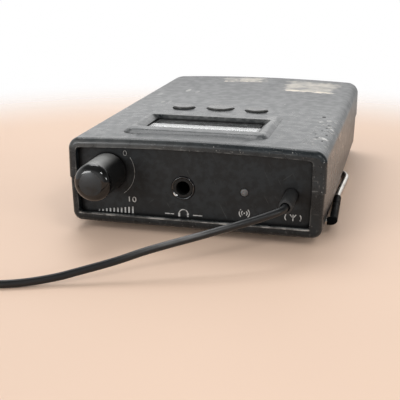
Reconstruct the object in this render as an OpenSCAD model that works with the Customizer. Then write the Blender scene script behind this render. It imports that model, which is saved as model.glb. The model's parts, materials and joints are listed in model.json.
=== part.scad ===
// Belt-worn wireless audio pack, lying on its back with the control end toward -Y.
// Units are millimetres. The object is built in case coordinates (front rim at y 0,
// case floor at z 0) and moved at the end, so that the origin is the middle of its base.

/* [Case] */
// Width of the case over its upper half
body_w = 66; // [64:1:72]
// Length of the case from the control end to the tail
body_l = 104; // [104:1:116]
// Height of the case at the side edges
body_h = 22; // [22:0.5:25]
// Extra height of the top face along its middle
crown = 0.7; // [0.4:0.1:1]
// Wall thickness of both shells
wall = 2; // [1.8:0.1:2.2]
// Depth of the control panel behind the rim
rim_depth = 2; // [1.5:0.1:2.2]
// Thickness of the control panel
panel_t = 1.6; // [1.4:0.1:1.8]

/* [Controls] */
// Diameter of the volume knob
knob_d = 9.5; // [8.5:0.25:10]
// Reach of the knob in front of the rim
knob_out = 11.5; // [9:0.5:13]
// Bore of the headphone socket
jack_d = 3.6; // [3.5:0.05:3.7]
// Outside diameter of the ring round the socket
jack_ring_d = 6; // [5.6:0.1:6.4]
// Diameter of the signal lamp
led_d = 2; // [1.8:0.1:2.4]

/* [Display] */
// Width of the display opening
lcd_w = 30.4; // [28:0.4:32]
// Length of the display opening
lcd_l = 15.5; // [15:0.5:17.5]
// Height of the display frame over the top face
bezel_up = 0.6; // [0.4:0.1:0.9]
// Width of the two outer keys
key_w = 6.4; // [6:0.2:7]
// Length of the two outer keys
key_l = 5.6; // [5.2:0.2:6]
// Width of the middle key
key_mid_w = 7.8; // [7.4:0.1:8.4]
// Length of the middle key
key_mid_l = 6.8; // [6.4:0.2:7.2]
// Height of the keys over the top face
key_up = 0.5; // [0.4:0.1:0.8]

/* [Antenna] */
// Outside diameter of the antenna boot
boot_d = 3.3; // [3.2:0.1:4]
// Reach of the boot in front of the rim
boot_out = 8; // [7.5:0.25:8.5]
// Diameter of the antenna wire
antenna_d = 1.8; // [1.6:0.1:1.8]

/* [Belt clip] */
// Wire diameter of the belt clip
wire_d = 1.8; // [1.6:0.1:1.8]
// Distance of the free end of the clip from the rim
clip_reach = 93; // [86:1:96]
// Wall of the black sleeves on the clip legs
sleeve_t = 0.26; // [0.2:0.02:0.3]

/* [Fits] */
// Play between fixed neighbours, on each side
seat_gap = 0.1; // [0.05:0.05:0.15]
// Play round the keys, on each side
key_gap = 0.25; // [0.2:0.05:0.3]
// Play round the battery door, on each side
door_gap = 0.2; // [0.15:0.05:0.25]
// Radial play of turning pins and shafts
run_gap = 0.05; // [0.03:0.01:0.08]
// Smallest distance between the clip wire and the case
clip_gap = 0.3; // [0.3:0.05:0.5]

/* [Hidden] */
$fn = 48;

// Case levels and outlines
part_z = 11.6;
part_step = 0.3;
side_taper = 0.4;
top_r = 3;
low_r = 2.5;
front_r = 1.5;
tail_r = 5;
tail_edge = 2.5;
rim_left = 2.3;
rim_right = 3.4;
rim_top = 2.3;
rim_low = 2.3;
rim_side = (rim_left + rim_right) / 2;
rim_shift = (rim_left - rim_right) / 2;
top_hw = body_w / 2;
low_hw = top_hw - part_step;
tail_in = body_l - wall;
rise = clip_gap + wire_d;
mid_y = (body_l - knob_out) / 2;

// Panel features, measured across and up from the middle of the case floor
panel_y = rim_depth + seat_gap / 2;
panel_back = panel_y + panel_t;
behind = panel_back + seat_gap;
knob_x = -22.6;
knob_z = body_h - 8.5;
jack_x = -3;
jack_z = 10.2;
led_x = 12.7;
led_z = 10.1;
boot_x = 24.4;
boot_z = 10.3;
knob_edge = 1.35;
shaft_r = 2;
bush_r = 2.9;
pot_hw = 4.9;
pot_l = 6;
jack_nose_r = jack_ring_d / 2 - 0.5;
jack_depth = 13;
jack_hw = 3.5;
jack_body_l = 12;
boot_bore = 5;

// Boards and the display stack, from the top face downward
disp_top = body_h - wall - 2.1;
disp_t = 1;
main_top = 7.2;
main_t = 1;
main_hw = low_hw - 4;
show_x = -1.9;
lcd_front = 12.5;
lcd_y = lcd_front + lcd_l / 2;
bezel_l = lcd_l + 13.5;
bezel_y = lcd_front - 5.5 + bezel_l / 2;
window_drop = 1.3;
lcd_slope = 1.6;
slope_up = 0.3;
bezel_top = body_h + crown + bezel_up;
key_y = 42.4;
key_mid_y = 43.2;
key_x = -2.7;
key_pitch = 10.8;
key_top = body_h + crown + key_up;
key_travel = 0.35;
flange_t = 0.7;
flange_z = body_h - wall - 0.6;
switch_h = 1;
switch_hw = 2.3;
plunger_r = 1.1;
disp_front = 11;
disp_back = key_mid_y + switch_hw + 0.3;

// Cells, bay and door: standard round cells, 14.5 by 50.5
cell_d = 14.5;
cell_l = 50.5;
spring_l = 2.4;
plate_t = 0.5;
bay_hw = cell_d + 0.6;
bay_y1 = tail_in - 0.5;
bay_y0 = bay_y1 - cell_l - spring_l - 2 * plate_t - 0.3;
bay_wall = 1.2;
bay_top = 15;
lip_t = 0.75;
door_t = wall - 0.25;
door_hw = bay_hw - seat_gap;
tongue_w = 1.1;
cell_z = door_t + 0.15 + cell_d / 2;
cell_x = cell_d / 2 + 0.2;

// Fastener places
case_x = 25.5;
screw_r = 1.2;
screw_head_r = 2.2;
screw_head_t = 1.8;
screw_seat = 6;
screw_tip = 16;
screw_slot = 0.5;
pillar_r = 3.3;
pillar_top = 9.5;
case_y = [20, body_l - 9];
disp_y = [29, disp_back - 3.8];
disp_x = 25;
main_front = behind + 1.4;
main_back = bay_y0 - 1.6;
main_spots = [[-24.5, main_back - 5.7], [24.5, main_back - 5.7], [10, main_front + 16.4]];

// Pieces on the main board: header, shield, flat chips and round cans
header_w = 14;
header_l = 2.5;
header_x = -13;
header_y = min(main_back, disp_back) - header_l - 1.5;
shield_x = [-2, 20];
shield_y = [main_front + 20.4, main_back - 2.6];
shield_h = 4;
shield_t = 0.4;
chips = [[-15, main_front + 15.8, 10, 9, 1.6], [-14, main_front + 10.8, 6, 4, 1.5],
    [1, main_front + 11.8, 5, 3, 1.2], [15, main_front + 10.4, 6, 3, 3]];
cans = [[-21, main_front + 19.4, 2.5, 6], [-27, main_front + 21.4, 2, 5.4]];

// Belt clip: axis of its two pins and the corner points of its right half
pin_y = 9.8;
pin_z = 1.9;
pin_in = 27;
pin_r = wire_d / 2 - 0.1;
clip_z = -clip_gap - wire_d / 2;
leg_x = top_hw + 1.2;
elbow = 1.4;
clip_corners = [[leg_x, pin_y, pin_z], [top_hw - 0.55, 43, clip_z], [top_hw + 0.3, 66.5, clip_z],
    [20, clip_reach - 14, clip_z], [17, clip_reach, clip_z]];

// Route of the antenna wire, from the bottom of the boot to its free end on the floor
floor_z = antenna_d / 2 - rise;
wire_route = [[24.4, -3, 10.3], [24.4, -5, 10.3], [24.4, -7.4, 10.3], [23.9, -9.7, 10.1],
    [21.6, -11.9, 9.5], [17.1, -14.9, 8.4], [8.2, -20.4, 6.5], [-2.9, -26.6, 4.1], [-9.7, -30.4, 2.2],
    [-16.7, -34.1, 0.6], [-22, -36.7, -0.5], [-28.4, -39.8, -1.1], [-35, -42, floor_z],
    [-43, -42.6, floor_z], [-50.6, -39.6, floor_z], [-55.6, -33, floor_z], [-57.6, -25, floor_z]];

// Points on an arc about c
function arc(c, r, a0, a1, n) = [for (i = [0 : n])
    let (a = a0 + (a1 - a0) * i / n) [c[0] + r * cos(a), c[1] + r * sin(a)]];

// Rounded rectangle about the origin
function round_rect(w, l, r, n) = concat(
    arc([w / 2 - r, l / 2 - r], r, 0, 90, n), arc([r - w / 2, l / 2 - r], r, 90, 180, n),
    arc([r - w / 2, r - l / 2], r, 180, 270, n), arc([w / 2 - r, r - l / 2], r, 270, 360, n));

// Oval about the origin
function oval(w, l, n) = [for (i = [0 : n - 1])
    let (a = 360 * i / n) [w / 2 * cos(a), l / 2 * sin(a)]];

// Cross-section of the upper half, dx in from the sides and dz down from the top
function upper(dx, dz, z0) =
    let (hw = top_hw - dx, r = max(top_r - min(dx, dz), 0.8), zt = body_h - dz) concat(
        [[-hw, z0], [hw, z0]], arc([hw - r, zt - r], r, 0, 90, 9),
        [for (i = [1 : 15]) let (x = (hw - r) * (1 - i / 8))
            [x, zt + crown * (1 - pow(x / (hw - r), 2))]],
        arc([r - hw, zt - r], r, 90, 180, 9));

// Cross-section of the lower half, dx in from the sides and dz up from the floor
function lower(dx, dz, z1) =
    let (t = atan(side_taper / part_z), r = max(low_r - min(dx, dz), 0.8),
        b0 = low_hw - side_taper - dx, cx = b0 + (dz + r) * tan(t) - r / cos(t),
        b1 = b0 + z1 * tan(t)) concat([[b1, z1], [-b1, z1]],
        arc([-cx, dz + r], r, 180 + t, 270, 9), arc([cx, dz + r], r, -90, -t, 9));

// Amounts by which the outline draws in toward the two ends
function ends() = concat(
    [for (a = [90 : -18 : 0]) let (d = front_r * (1 - sin(90 - a)))
        [front_r * (1 - sin(a)), d, d]],
    [for (a = [0, 15, 30, 45, 55, 65, 75, 83, 90]) let (y = tail_r * (1 - sin(a)), e = tail_edge)
        [body_l - y, tail_r * (1 - cos(a)), y < e ? e - sqrt(e * e - (e - y) * (e - y)) : 0]]);

// Faces of a skin over m rings of n points, closed on itself or capped
function skin(n, m, closed) = concat(
    [for (k = [0 : m - (closed ? 1 : 2)], i = [0 : n - 1], h = [0, 1])
        let (a = k * n, b = ((k + 1) % m) * n, j = (i + 1) % n)
            h == 0 ? [a + i, a + j, b + j] : [a + i, b + j, b + i]],
    closed ? [] : [[for (i = [n - 1 : -1 : 0]) i], [for (i = [0 : n - 1]) (m - 1) * n + i]]);

function unit(v) = v / norm(v);

// Outline shifted in its plane
function move(p, d) = [for (q = p) q + d];

// Direction of a path at point i
function along(p, i) = unit(p[min(i + 1, len(p) - 1)] - p[max(i - 1, 0)]);

// Ring of n points round point i of a path
function ring(p, i, r, n) = let (t = along(p, i), u = unit(cross(t, [0, 0, 1])), v = cross(t, u))
    [for (k = [0 : n - 1]) let (a = 360 * k / n) p[i] + r * (u * cos(a) - v * sin(a))];

function flat(l) = [for (a = l, b = a) b];

// Path with each inner corner of a polyline bent to an arc that starts e before it
function eased(p, e, n) = concat([p[0]],
    flat([for (i = [1 : len(p) - 2])
        let (u = unit(p[i] - p[i - 1]), v = unit(p[i + 1] - p[i]), f = acos(u * v),
            r = e[i] / tan(f / 2), c = p[i] + unit(v - u) * r / cos(f / 2), a = p[i] - u * e[i] - c)
            [for (k = [0 : n]) c + a * cos(f * k / n) + u * r * sin(f * k / n)]]),
    [p[len(p) - 1]]);

// Smooth path through every point of a route, with s steps for each span
function smooth(p, s) = let (m = len(p) - 1) concat(
    flat([for (i = [0 : m - 1])
        let (a = p[max(i - 1, 0)], b = p[i], c = p[i + 1], d = p[min(i + 2, m)])
            [for (k = [0 : s - 1]) let (t = k / s)
                0.5 * (2 * b + (c - a) * t + (2 * a - 5 * b + 4 * c - d) * t * t
                    + (3 * b - a - 3 * c + d) * t * t * t)]]),
    [p[m]]);

// Right half of the clip wire, from its pin to the middle of the free end
clip_ends = [[leg_x - elbow - 0.1, pin_y, pin_z], [0, clip_reach, clip_z]];
clip_half = eased(concat([clip_ends[0]], clip_corners, [clip_ends[1]]), [0, elbow, 4, 5, 6, 5.5, 0], 5);
clip_path = concat(clip_half, [for (i = [len(clip_half) - 2 : -1 : 0])
    [-clip_half[i][0], clip_half[i][1], clip_half[i][2]]]);
sleeve_first = 1;
sleeve_last = 7;

// Solid over a list of rings
module skinned(rings, closed = false) {
    polyhedron(flat(rings), skin(len(rings[0]), len(rings), closed), convexity = 6);
}

// Profile in x and z drawn along y
module along_y(pts, y0, y1) {
    translate([0, y1, 0]) rotate([90, 0, 0]) linear_extrude(y1 - y0) polygon(pts);
}

// Plate drawn up from z0 to z1
module plate(pts, z0, z1) {
    translate([0, 0, z0]) linear_extrude(z1 - z0) polygon(pts);
}

// Cylinder along y from y0 to y1
module bar_y(x, z, r, y0, y1) {
    translate([x, y1, z]) rotate([90, 0, 0]) cylinder(r = r, h = y1 - y0);
}

// Box between two corners
module span(a, b) {
    translate(a) cube(b - a);
}

// Post standing from z0 to z1
module post(p, r, z0, z1) {
    translate([p[0], p[1], z0]) cylinder(r = r, h = z1 - z0);
}

// Turned piece along -y, its profile given as radius and distance forward
module turned_y(x, y, z, pts) {
    translate([x, y, z]) rotate([90, 0, 0]) rotate_extrude() polygon(pts);
}

// Both sides of the case
module pair() {
    children();
    mirror([1, 0, 0]) children();
}

// From case coordinates to the origin at the middle of the base
module placed() {
    translate([0, -mid_y, rise]) children();
}

// Inside outline seen from above, d in from the outer faces
function inside(d, y0) = concat([[d - top_hw, y0], [top_hw - d, y0]],
    arc([top_hw - tail_r, body_l - tail_r], tail_r - d, 0, 90, 6),
    arc([tail_r - top_hw, body_l - tail_r], tail_r - d, 90, 180, 6));

// Display frame standing on the top face
module bezel() {
    w = lcd_w + 7.6;
    l = bezel_l;
    translate([show_x, bezel_y, 0]) hull() {
        plate(round_rect(w, l, 3, 6), body_h - 0.6, body_h + crown - 0.2);
        plate(round_rect(w - 1.6, l - 2.6, 2.6, 6), bezel_top - 0.35, bezel_top - 0.25);
        plate(round_rect(w - 2.8, l - 4, 2.2, 6), bezel_top - 0.1, bezel_top);
    }
}

// Display opening, its two side walls sloping out toward the top
module lcd_opening() {
    translate([show_x, lcd_y, 0]) {
        plate(round_rect(lcd_w, lcd_l, 1, 4), part_z, bezel_top + 1);
        hull() {
            plate(round_rect(lcd_w, lcd_l, 1, 4), bezel_top - window_drop + slope_up, bezel_top);
            plate(round_rect(lcd_w + 2 * lcd_slope, lcd_l, 1, 4), bezel_top, bezel_top + 0.1);
        }
    }
}

module front_shell() {
    color([0.09, 0.09, 0.1]) placed() difference() {
        union() {
            difference() {
                skinned([for (e = ends()) [for (p = upper(e[1], e[2], part_z)) [p[0], e[0], p[1]]]]);
                intersection() {
                    along_y(upper(wall, wall, part_z - 1), rim_depth, tail_in);
                    plate(inside(wall, 0), 0, body_h + 2);
                }
                translate([rim_shift, 0, 0])
                    along_y(upper(rim_side, rim_top, part_z - 1), -1, rim_depth + 1);
            }
            bezel();
            pair() {
                span([top_hw - 4, behind + 0.05, part_z + 1.6], [top_hw - 1, behind + 1.2, body_h - 5]);
                for (y = case_y) post([case_x, y], pillar_r - 0.6, pillar_top + 0.2, body_h - wall + 0.6);
                for (y = disp_y) post([disp_x, y], 2.2, disp_top, body_h - wall + 0.6);
            }
        }
        lcd_opening();
        for (k = [-1, 1]) translate([key_x + k * key_pitch, key_y, 0])
            plate(oval(key_w + 2 * key_gap, key_l + 2 * key_gap, 40), part_z, body_h + 3);
        translate([key_x, key_mid_y, 0])
            plate(oval(key_mid_w + 2 * key_gap, key_mid_l + 2 * key_gap, 40), part_z, body_h + 3);
        pair() {
            for (y = case_y) post([case_x, y], screw_r + 0.05, pillar_top - 0.5, screw_tip + 1);
            for (y = disp_y) post([disp_x, y], 0.85, disp_top - 1, body_h - wall - 0.1);
        }
        difference() {
            plate(inside(wall / 2, 4.8), part_z - 1, part_z + 1.35);
            plate(inside(wall + 0.6, 0), part_z - 2, part_z + 2);
        }
    }
}

module rear_shell() {
    color([0.08, 0.08, 0.09]) placed() difference() {
        union() {
            difference() {
                skinned([for (e = ends()) [for (p = lower(e[1], e[2], part_z)) [p[0], e[0], p[1]]]]);
                intersection() {
                    along_y(lower(wall, wall, part_z + 1), rim_depth, tail_in);
                    plate(inside(wall + part_step, 0), 0, body_h);
                }
                translate([rim_shift, 0, 0])
                    along_y(lower(rim_side - part_step, rim_low, part_z + 1), -1, rim_depth + 1);
            }
            difference() {
                plate(inside(wall / 2 + seat_gap, 5), part_z - 1.5, part_z + 1.2);
                plate(inside(wall + 0.3, 0), part_z - 2, part_z + 2);
            }
            pair() {
                span([bay_hw, bay_y0 - bay_wall, wall - 0.3],
                    [bay_hw + 2 * bay_wall, tail_in - 0.2, bay_top]);
                span([bay_hw, tail_in - 1, wall - 0.3], [bay_hw + 2 * bay_wall, tail_in + 0.5, part_z - 1]);
            }
            span([-bay_hw - 0.5, bay_y0 - bay_wall, wall - 0.3], [bay_hw + 0.5, bay_y0, bay_top]);
            for (p = main_spots) post(p, 2.2, wall - 0.3, main_top - main_t);
            pair() {
                for (y = case_y) post([case_x, y], pillar_r, 0.6, pillar_top);
                span([pin_in - 1.2, pin_y - 2.2, 1], [low_hw - 1.4, pin_y + 2.2, 4.3]);
                span([low_hw - 4, behind + 0.05, wall - 0.3], [low_hw - 1.6, behind + 1.2, part_z - 0.4]);
            }
        }
        span([-door_hw - door_gap, bay_y0 + 0.4, -1], [door_hw + door_gap, body_l + 1, wall]);
        span([-door_hw - tongue_w - door_gap, bay_y0 + 0.4, lip_t],
            [door_hw + tongue_w + door_gap, body_l + 1, wall]);
        span([-bay_hw, bay_y0, wall - 0.5], [bay_hw, bay_y1, wall + 1]);
        for (p = main_spots) post(p, 0.85, wall + 0.4, main_top);
        plate(move(round_rect(36, 18, 1.5, 4), [0, 31]), -1, 0.25);
        pair() {
            for (y = case_y) {
                post([case_x, y], screw_r + 0.15, -1, pillar_top + 1);
                post([case_x, y], screw_head_r + 0.3, -1, screw_seat);
            }
            translate([pin_in - 0.3, pin_y, pin_z]) rotate([0, 90, 0])
                cylinder(r = pin_r + run_gap, h = top_hw);
        }
    }
}

module end_panel() {
    color([0.12, 0.12, 0.12]) placed() difference() {
        union() {
            along_y(upper(wall + seat_gap, wall + seat_gap, part_z + 0.1), panel_y, panel_back);
            along_y(lower(wall + seat_gap, wall + seat_gap, part_z + 0.5), panel_y, panel_back);
        }
        bar_y(knob_x, knob_z, bush_r + seat_gap, 0, 9);
        bar_y(jack_x, jack_z, jack_ring_d / 2 + seat_gap / 2, 0, 9);
        bar_y(led_x, led_z, led_d / 2 + seat_gap, 0, 9);
        bar_y(boot_x, boot_z, boot_d / 2 + seat_gap, 0, 9);
    }
}

module lcd_window() {
    color([0.75, 0.8, 0.78, 0.5]) placed() translate([show_x, lcd_y, 0])
        plate(round_rect(lcd_w - seat_gap, lcd_l - seat_gap, 1, 4), bezel_top - window_drop - 1,
            bezel_top - window_drop);
}

module lcd_glass() {
    color([0.45, 0.5, 0.45]) placed() translate([show_x, lcd_y, 0]) {
        x = lcd_w / 2 + 1.8;
        y = lcd_l / 2 + 1.5;
        span([-x, -y, disp_top + 0.9], [x, y, disp_top + 1.8]);
        span([-x, 2 - y, disp_top + 1.8], [x, y, disp_top + 2.2]);
    }
}

module lcd_holder() {
    color([0.9, 0.9, 0.88]) placed() translate([show_x, lcd_y, 0]) difference() {
        w = lcd_w + 5.6;
        l = lcd_l + 5;
        span([-w / 2, -l / 2, disp_top], [w / 2, l / 2, disp_top + 1.6]);
        span([-lcd_w / 2 - 1.8 - seat_gap, -lcd_l / 2 - 1.5 - seat_gap, disp_top + 0.9],
            [lcd_w / 2 + 1.8 + seat_gap, lcd_l / 2 + 1.5 + seat_gap, disp_top + 3]);
    }
}

// One key cap: oval crown in the top face, flange under it
module key(x, y, w, l) {
    color([0.07, 0.07, 0.08]) placed() translate([x, y, 0]) {
        hull() {
            plate(oval(w, l, 40), flange_z, key_top - 0.45);
            plate(oval(w - 0.5, l - 0.5, 40), key_top - 0.2, key_top - 0.15);
            plate(oval(w - 2, l - 2, 40), key_top - 0.05, key_top);
        }
        plate(oval(w + 1.6, l + 1.6, 40), flange_z, flange_z + flange_t);
    }
}

module button_left() {
    key(key_x - key_pitch, key_y, key_w, key_l);
}

module button_middle() {
    key(key_x, key_mid_y, key_mid_w, key_mid_l);
}

module button_right() {
    key(key_x + key_pitch, key_y, key_w, key_l);
}

// Plunger between a key and its switch
module plunger(x, y) {
    color([0.75, 0.2, 0.15]) placed()
        post([x, y], plunger_r, disp_top + switch_h - 0.3, flange_z);
}

module plunger_left() {
    plunger(key_x - key_pitch, key_y);
}

module plunger_middle() {
    plunger(key_x, key_mid_y);
}

module plunger_right() {
    plunger(key_x + key_pitch, key_y);
}

module tact_switches() {
    color([0.16, 0.16, 0.17]) placed() for (k = [-1, 0, 1])
        translate([key_x + k * key_pitch, k == 0 ? key_mid_y : key_y, disp_top]) difference() {
            span([-switch_hw, -switch_hw, 0], [switch_hw, switch_hw, switch_h]);
            translate([0, 0, switch_h - 0.3 - key_travel - 0.1]) cylinder(r = plunger_r + run_gap, h = 2);
        }
}

module display_board() {
    color([0.1, 0.3, 0.16]) placed() difference() {
        span([-top_hw + 4, disp_front, disp_top - disp_t], [top_hw - 4, disp_back, disp_top]);
        pair() {
            post([case_x, case_y[0]], pillar_r - 0.2, 0, body_h);
            for (y = disp_y) post([disp_x, y], 1.2, 0, body_h);
        }
    }
}

module display_screws() {
    color([0.7, 0.7, 0.7]) placed() pair() for (y = disp_y) {
        post([disp_x, y], 1.7, disp_top - disp_t - 1, disp_top - disp_t);
        post([disp_x, y], 0.8, disp_top - disp_t - 0.5, body_h - wall - 0.4);
    }
}

module main_board() {
    color([0.1, 0.3, 0.16]) placed() difference() {
        span([-main_hw, main_front, main_top - main_t], [main_hw, main_back, main_top]);
        pair() post([case_x, case_y[0]], pillar_r + 0.3, 0, body_h);
        for (p = main_spots) post(p, 1.2, 0, body_h);
    }
}

module board_screws() {
    color([0.7, 0.7, 0.7]) placed() for (p = main_spots) {
        post(p, 1.7, main_top, main_top + 1);
        post(p, 0.8, wall + 0.6, main_top + 0.5);
    }
}

module board_header() {
    color([0.1, 0.1, 0.1]) placed() span([header_x - header_w / 2, header_y, main_top],
        [header_x + header_w / 2, header_y + header_l, disp_top - disp_t]);
}

module rf_shield() {
    color([0.72, 0.73, 0.74]) placed() difference() {
        span([shield_x[0], shield_y[0], main_top], [shield_x[1], shield_y[1], main_top + shield_h]);
        span([shield_x[0] + shield_t, shield_y[0] + shield_t, main_top - 1],
            [shield_x[1] - shield_t, shield_y[1] - shield_t, main_top + shield_h - shield_t]);
    }
}

module board_components() {
    color([0.14, 0.14, 0.15]) placed() {
        for (c = chips) span([c[0], c[1], main_top], [c[0] + c[2], c[1] + c[3], main_top + c[4]]);
        for (c = cans) post([c[0], c[1]], c[2], main_top, main_top + c[3]);
    }
}

module volume_knob() {
    r = knob_d / 2;
    h = knob_out + rim_depth - 0.5;
    color([0.05, 0.05, 0.05]) placed() turned_y(knob_x, rim_depth - 0.5, knob_z, concat(
        [[shaft_r + run_gap, 2.2], [bush_r + 0.4, 2.2], [bush_r + 0.4, 0], [r - 0.2, 0], [r, 0.2]],
        arc([r - knob_edge, h - 0.2 - knob_edge], knob_edge, 0, 75, 6),
        [[r - 0.2 - knob_edge, h - 0.12], [0, h], [0, h - 2], [shaft_r + run_gap, h - 2]]));
}

module pot_shaft() {
    color([0.78, 0.78, 0.78]) placed()
        turned_y(knob_x, behind + 4, knob_z, [[0, 0], [shaft_r, 0], [shaft_r, behind + knob_out + 1.6],
            [shaft_r - 0.3, behind + knob_out + 1.9], [0, behind + knob_out + 1.9]]);
}

module volume_pot() {
    color([0.3, 0.3, 0.32]) placed() difference() {
        union() {
            span([knob_x - pot_hw, behind, main_top + 1],
                [knob_x + pot_hw, behind + pot_l, knob_z + pot_hw]);
            bar_y(knob_x, knob_z, bush_r, rim_depth - 0.9, behind + 1);
            for (k = [-1, 0, 1]) span([knob_x + 2.5 * k - 0.5, behind + pot_l - 1, main_top],
                [knob_x + 2.5 * k + 0.5, behind + pot_l - 0.5, main_top + 1.2]);
        }
        bar_y(knob_x, knob_z, shaft_r + run_gap, -5, behind + 4.2);
    }
}

module phones_jack() {
    color([0.06, 0.06, 0.06]) placed() difference() {
        union() {
            span([jack_x - jack_hw, behind, main_top],
                [jack_x + jack_hw, behind + jack_body_l, jack_z + jack_hw - 0.5]);
            bar_y(jack_x, jack_z, jack_nose_r, rim_depth - 0.1, behind + 1);
        }
        bar_y(jack_x, jack_z, jack_d / 2, -5, rim_depth - 0.1 + jack_depth);
    }
}

module jack_ring() {
    color([0.8, 0.8, 0.8]) placed() turned_y(jack_x, behind, jack_z, [[jack_nose_r + 0.02, 0],
        [jack_ring_d / 2, 0], [jack_ring_d / 2, behind - rim_depth + 0.1],
        [jack_ring_d / 2 - 0.2, behind - rim_depth + 0.3], [jack_nose_r + 0.02, behind - rim_depth + 0.1]]);
}

module rf_led() {
    r = led_d / 2;
    f = behind + 1;
    color([0.5, 0.5, 0.5]) placed() {
        turned_y(led_x, f + 1, led_z, [[0, 0], [r + 0.3, 0], [r + 0.3, 1], [r, 1],
            [r, f + 0.9 - rim_depth], [r * 0.8, f + 1.05 - rim_depth], [0, f + 1.15 - rim_depth]]);
        for (k = [-0.6, 0.6]) {
            span([led_x + k - 0.2, f + 0.5, led_z - 0.2], [led_x + k + 0.2, f + 4, led_z + 0.2]);
            span([led_x + k - 0.2, f + 3.6, main_top], [led_x + k + 0.2, f + 4, led_z + 0.2]);
        }
    }
}

module antenna_boot() {
    r = boot_d / 2;
    b = antenna_d / 2 + 0.2;
    n = behind + boot_out;
    color([0.06, 0.06, 0.06]) placed() turned_y(boot_x, behind, boot_z, concat(
        [[0, -2], [1.4, -2], [1.4, -1.2], [2.7, -1.2], [2.7, 0], [r, 0]],
        arc([r - 0.35, n - 0.35], 0.35, 0, 90, 4), [[b, n], [b, n - boot_bore], [0, n - boot_bore]]));
}

module antenna_lead() {
    color([0.75, 0.3, 0.2]) placed() {
        bar_y(boot_x, boot_z, 0.5, behind + 2, behind + 4);
        post([boot_x, behind + 3.9], 0.45, main_top, boot_z + 0.1);
    }
}

module antenna_wire() {
    start = [[boot_x, boot_bore - boot_out, boot_z]];
    path = smooth(concat(start, [for (i = [1 : len(wire_route) - 1]) wire_route[i]]), 4);
    color([0.05, 0.05, 0.05]) placed()
        skinned([for (i = [0 : len(path) - 1]) ring(path, i, antenna_d / 2, 8)]);
}

// Round cell with its positive nub toward +y
module cell() {
    rotate([-90, 0, 0]) rotate_extrude() polygon([[0, 0], [cell_d / 2 - 0.5, 0], [cell_d / 2, 0.5],
        [cell_d / 2, cell_l - 1.9], [cell_d / 2 - 0.5, cell_l - 1.4], [2.75, cell_l - 1.4],
        [2.75, cell_l - 0.2], [2.55, cell_l], [0, cell_l]]);
}

module battery_cell_left() {
    color([0.25, 0.35, 0.5]) placed()
        translate([-cell_x, bay_y1 - plate_t - 0.1 - cell_l, cell_z]) cell();
}

module battery_cell_right() {
    color([0.25, 0.35, 0.5]) placed()
        translate([cell_x, bay_y0 + plate_t + 0.1 + cell_l, cell_z]) rotate([0, 0, 180]) cell();
}

// Contact plate with a conical coil pressing on a cell
module coil_contact() {
    turns = 3;
    path = [for (i = [0 : turns * 9]) let (s = i / (turns * 9), a = 360 * turns * s)
        [(4.2 - 2.2 * s) * cos(a), (4.2 - 2.2 * s) * sin(a), plate_t - 0.2 + (spring_l - 0.1) * s]];
    span([-5.5, -6, 0], [5.5, 6, plate_t]);
    skinned([for (i = [0 : len(path) - 1]) coil_ring(path, i, 0.3, 6)]);
}

// Ring round a coil's wire, kept upright along the coil's axis
function coil_ring(p, i, r, n) = let (t = along(p, i), u = unit([p[i][0], p[i][1], 0]), v = cross(t, u))
    [for (k = [0 : n - 1]) let (a = 360 * k / n) p[i] + r * (u * cos(a) - v * sin(a))];

module battery_springs() {
    color([0.8, 0.8, 0.78]) placed() {
        translate([-cell_x, bay_y0, cell_z]) rotate([-90, 0, 0]) coil_contact();
        translate([cell_x, bay_y1, cell_z]) rotate([90, 0, 0]) coil_contact();
    }
}

module battery_plates() {
    color([0.8, 0.8, 0.78]) placed() {
        span([-cell_x - 5.5, bay_y1 - plate_t, cell_z - 6], [-cell_x + 5.5, bay_y1, cell_z + 6]);
        span([cell_x - 5.5, bay_y0, cell_z - 6], [cell_x + 5.5, bay_y0 + plate_t, cell_z + 6]);
    }
}

module battery_door() {
    y0 = bay_y0 + 0.4 + door_gap;
    color([0.08, 0.08, 0.09]) placed() difference() {
        intersection() {
            union() {
                span([-door_hw, y0, -1], [door_hw, body_l + 1, door_t]);
                span([-door_hw - tongue_w, y0, lip_t + door_gap], [door_hw + tongue_w, body_l - 3, door_t]);
            }
            skinned([for (e = ends()) [for (p = lower(e[1], e[2], part_z)) [p[0], e[0], p[1]]]]);
        }
        for (i = [0 : 5]) span([-7, y0 + 5 + 1.6 * i, -1], [7, y0 + 5.8 + 1.6 * i, 0.45]);
    }
}

module belt_clip() {
    color([0.75, 0.75, 0.74]) placed() {
        skinned([for (i = [0 : len(clip_path) - 1]) ring(clip_path, i, wire_d / 2, 12)]);
        pair() translate([pin_in, pin_y, pin_z]) rotate([0, 90, 0])
            cylinder(r = pin_r, h = leg_x - elbow + 0.3 - pin_in);
    }
}

// Black sleeve over the front of one clip leg
module sleeve() {
    span_i = [for (i = [sleeve_first : sleeve_last]) i];
    back_i = [for (i = [sleeve_last : -1 : sleeve_first]) i];
    skinned(concat([for (i = span_i) ring(clip_path, i, wire_d / 2 + sleeve_t + 0.04, 12)],
        [for (i = back_i) ring(clip_path, i, wire_d / 2 + 0.04, 12)]), true);
}

module clip_sleeve_left() {
    color([0.03, 0.03, 0.03]) placed() mirror([1, 0, 0]) sleeve();
}

module clip_sleeve_right() {
    color([0.03, 0.03, 0.03]) placed() sleeve();
}

module case_screws() {
    color([0.2, 0.2, 0.2]) placed() pair() for (y = case_y) difference() {
        union() {
            post([case_x, y], screw_head_r, screw_seat - screw_head_t, screw_seat);
            post([case_x, y], screw_r, screw_seat - 1, screw_tip);
        }
        translate([case_x, y, screw_seat - screw_head_t - 0.2]) for (a = [0, 90]) rotate([0, 0, a])
            span([0.7 - screw_head_r, -screw_slot / 2, 0],
                [screw_head_r - 0.7, screw_slot / 2, screw_head_t / 2]);
    }
}

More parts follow.
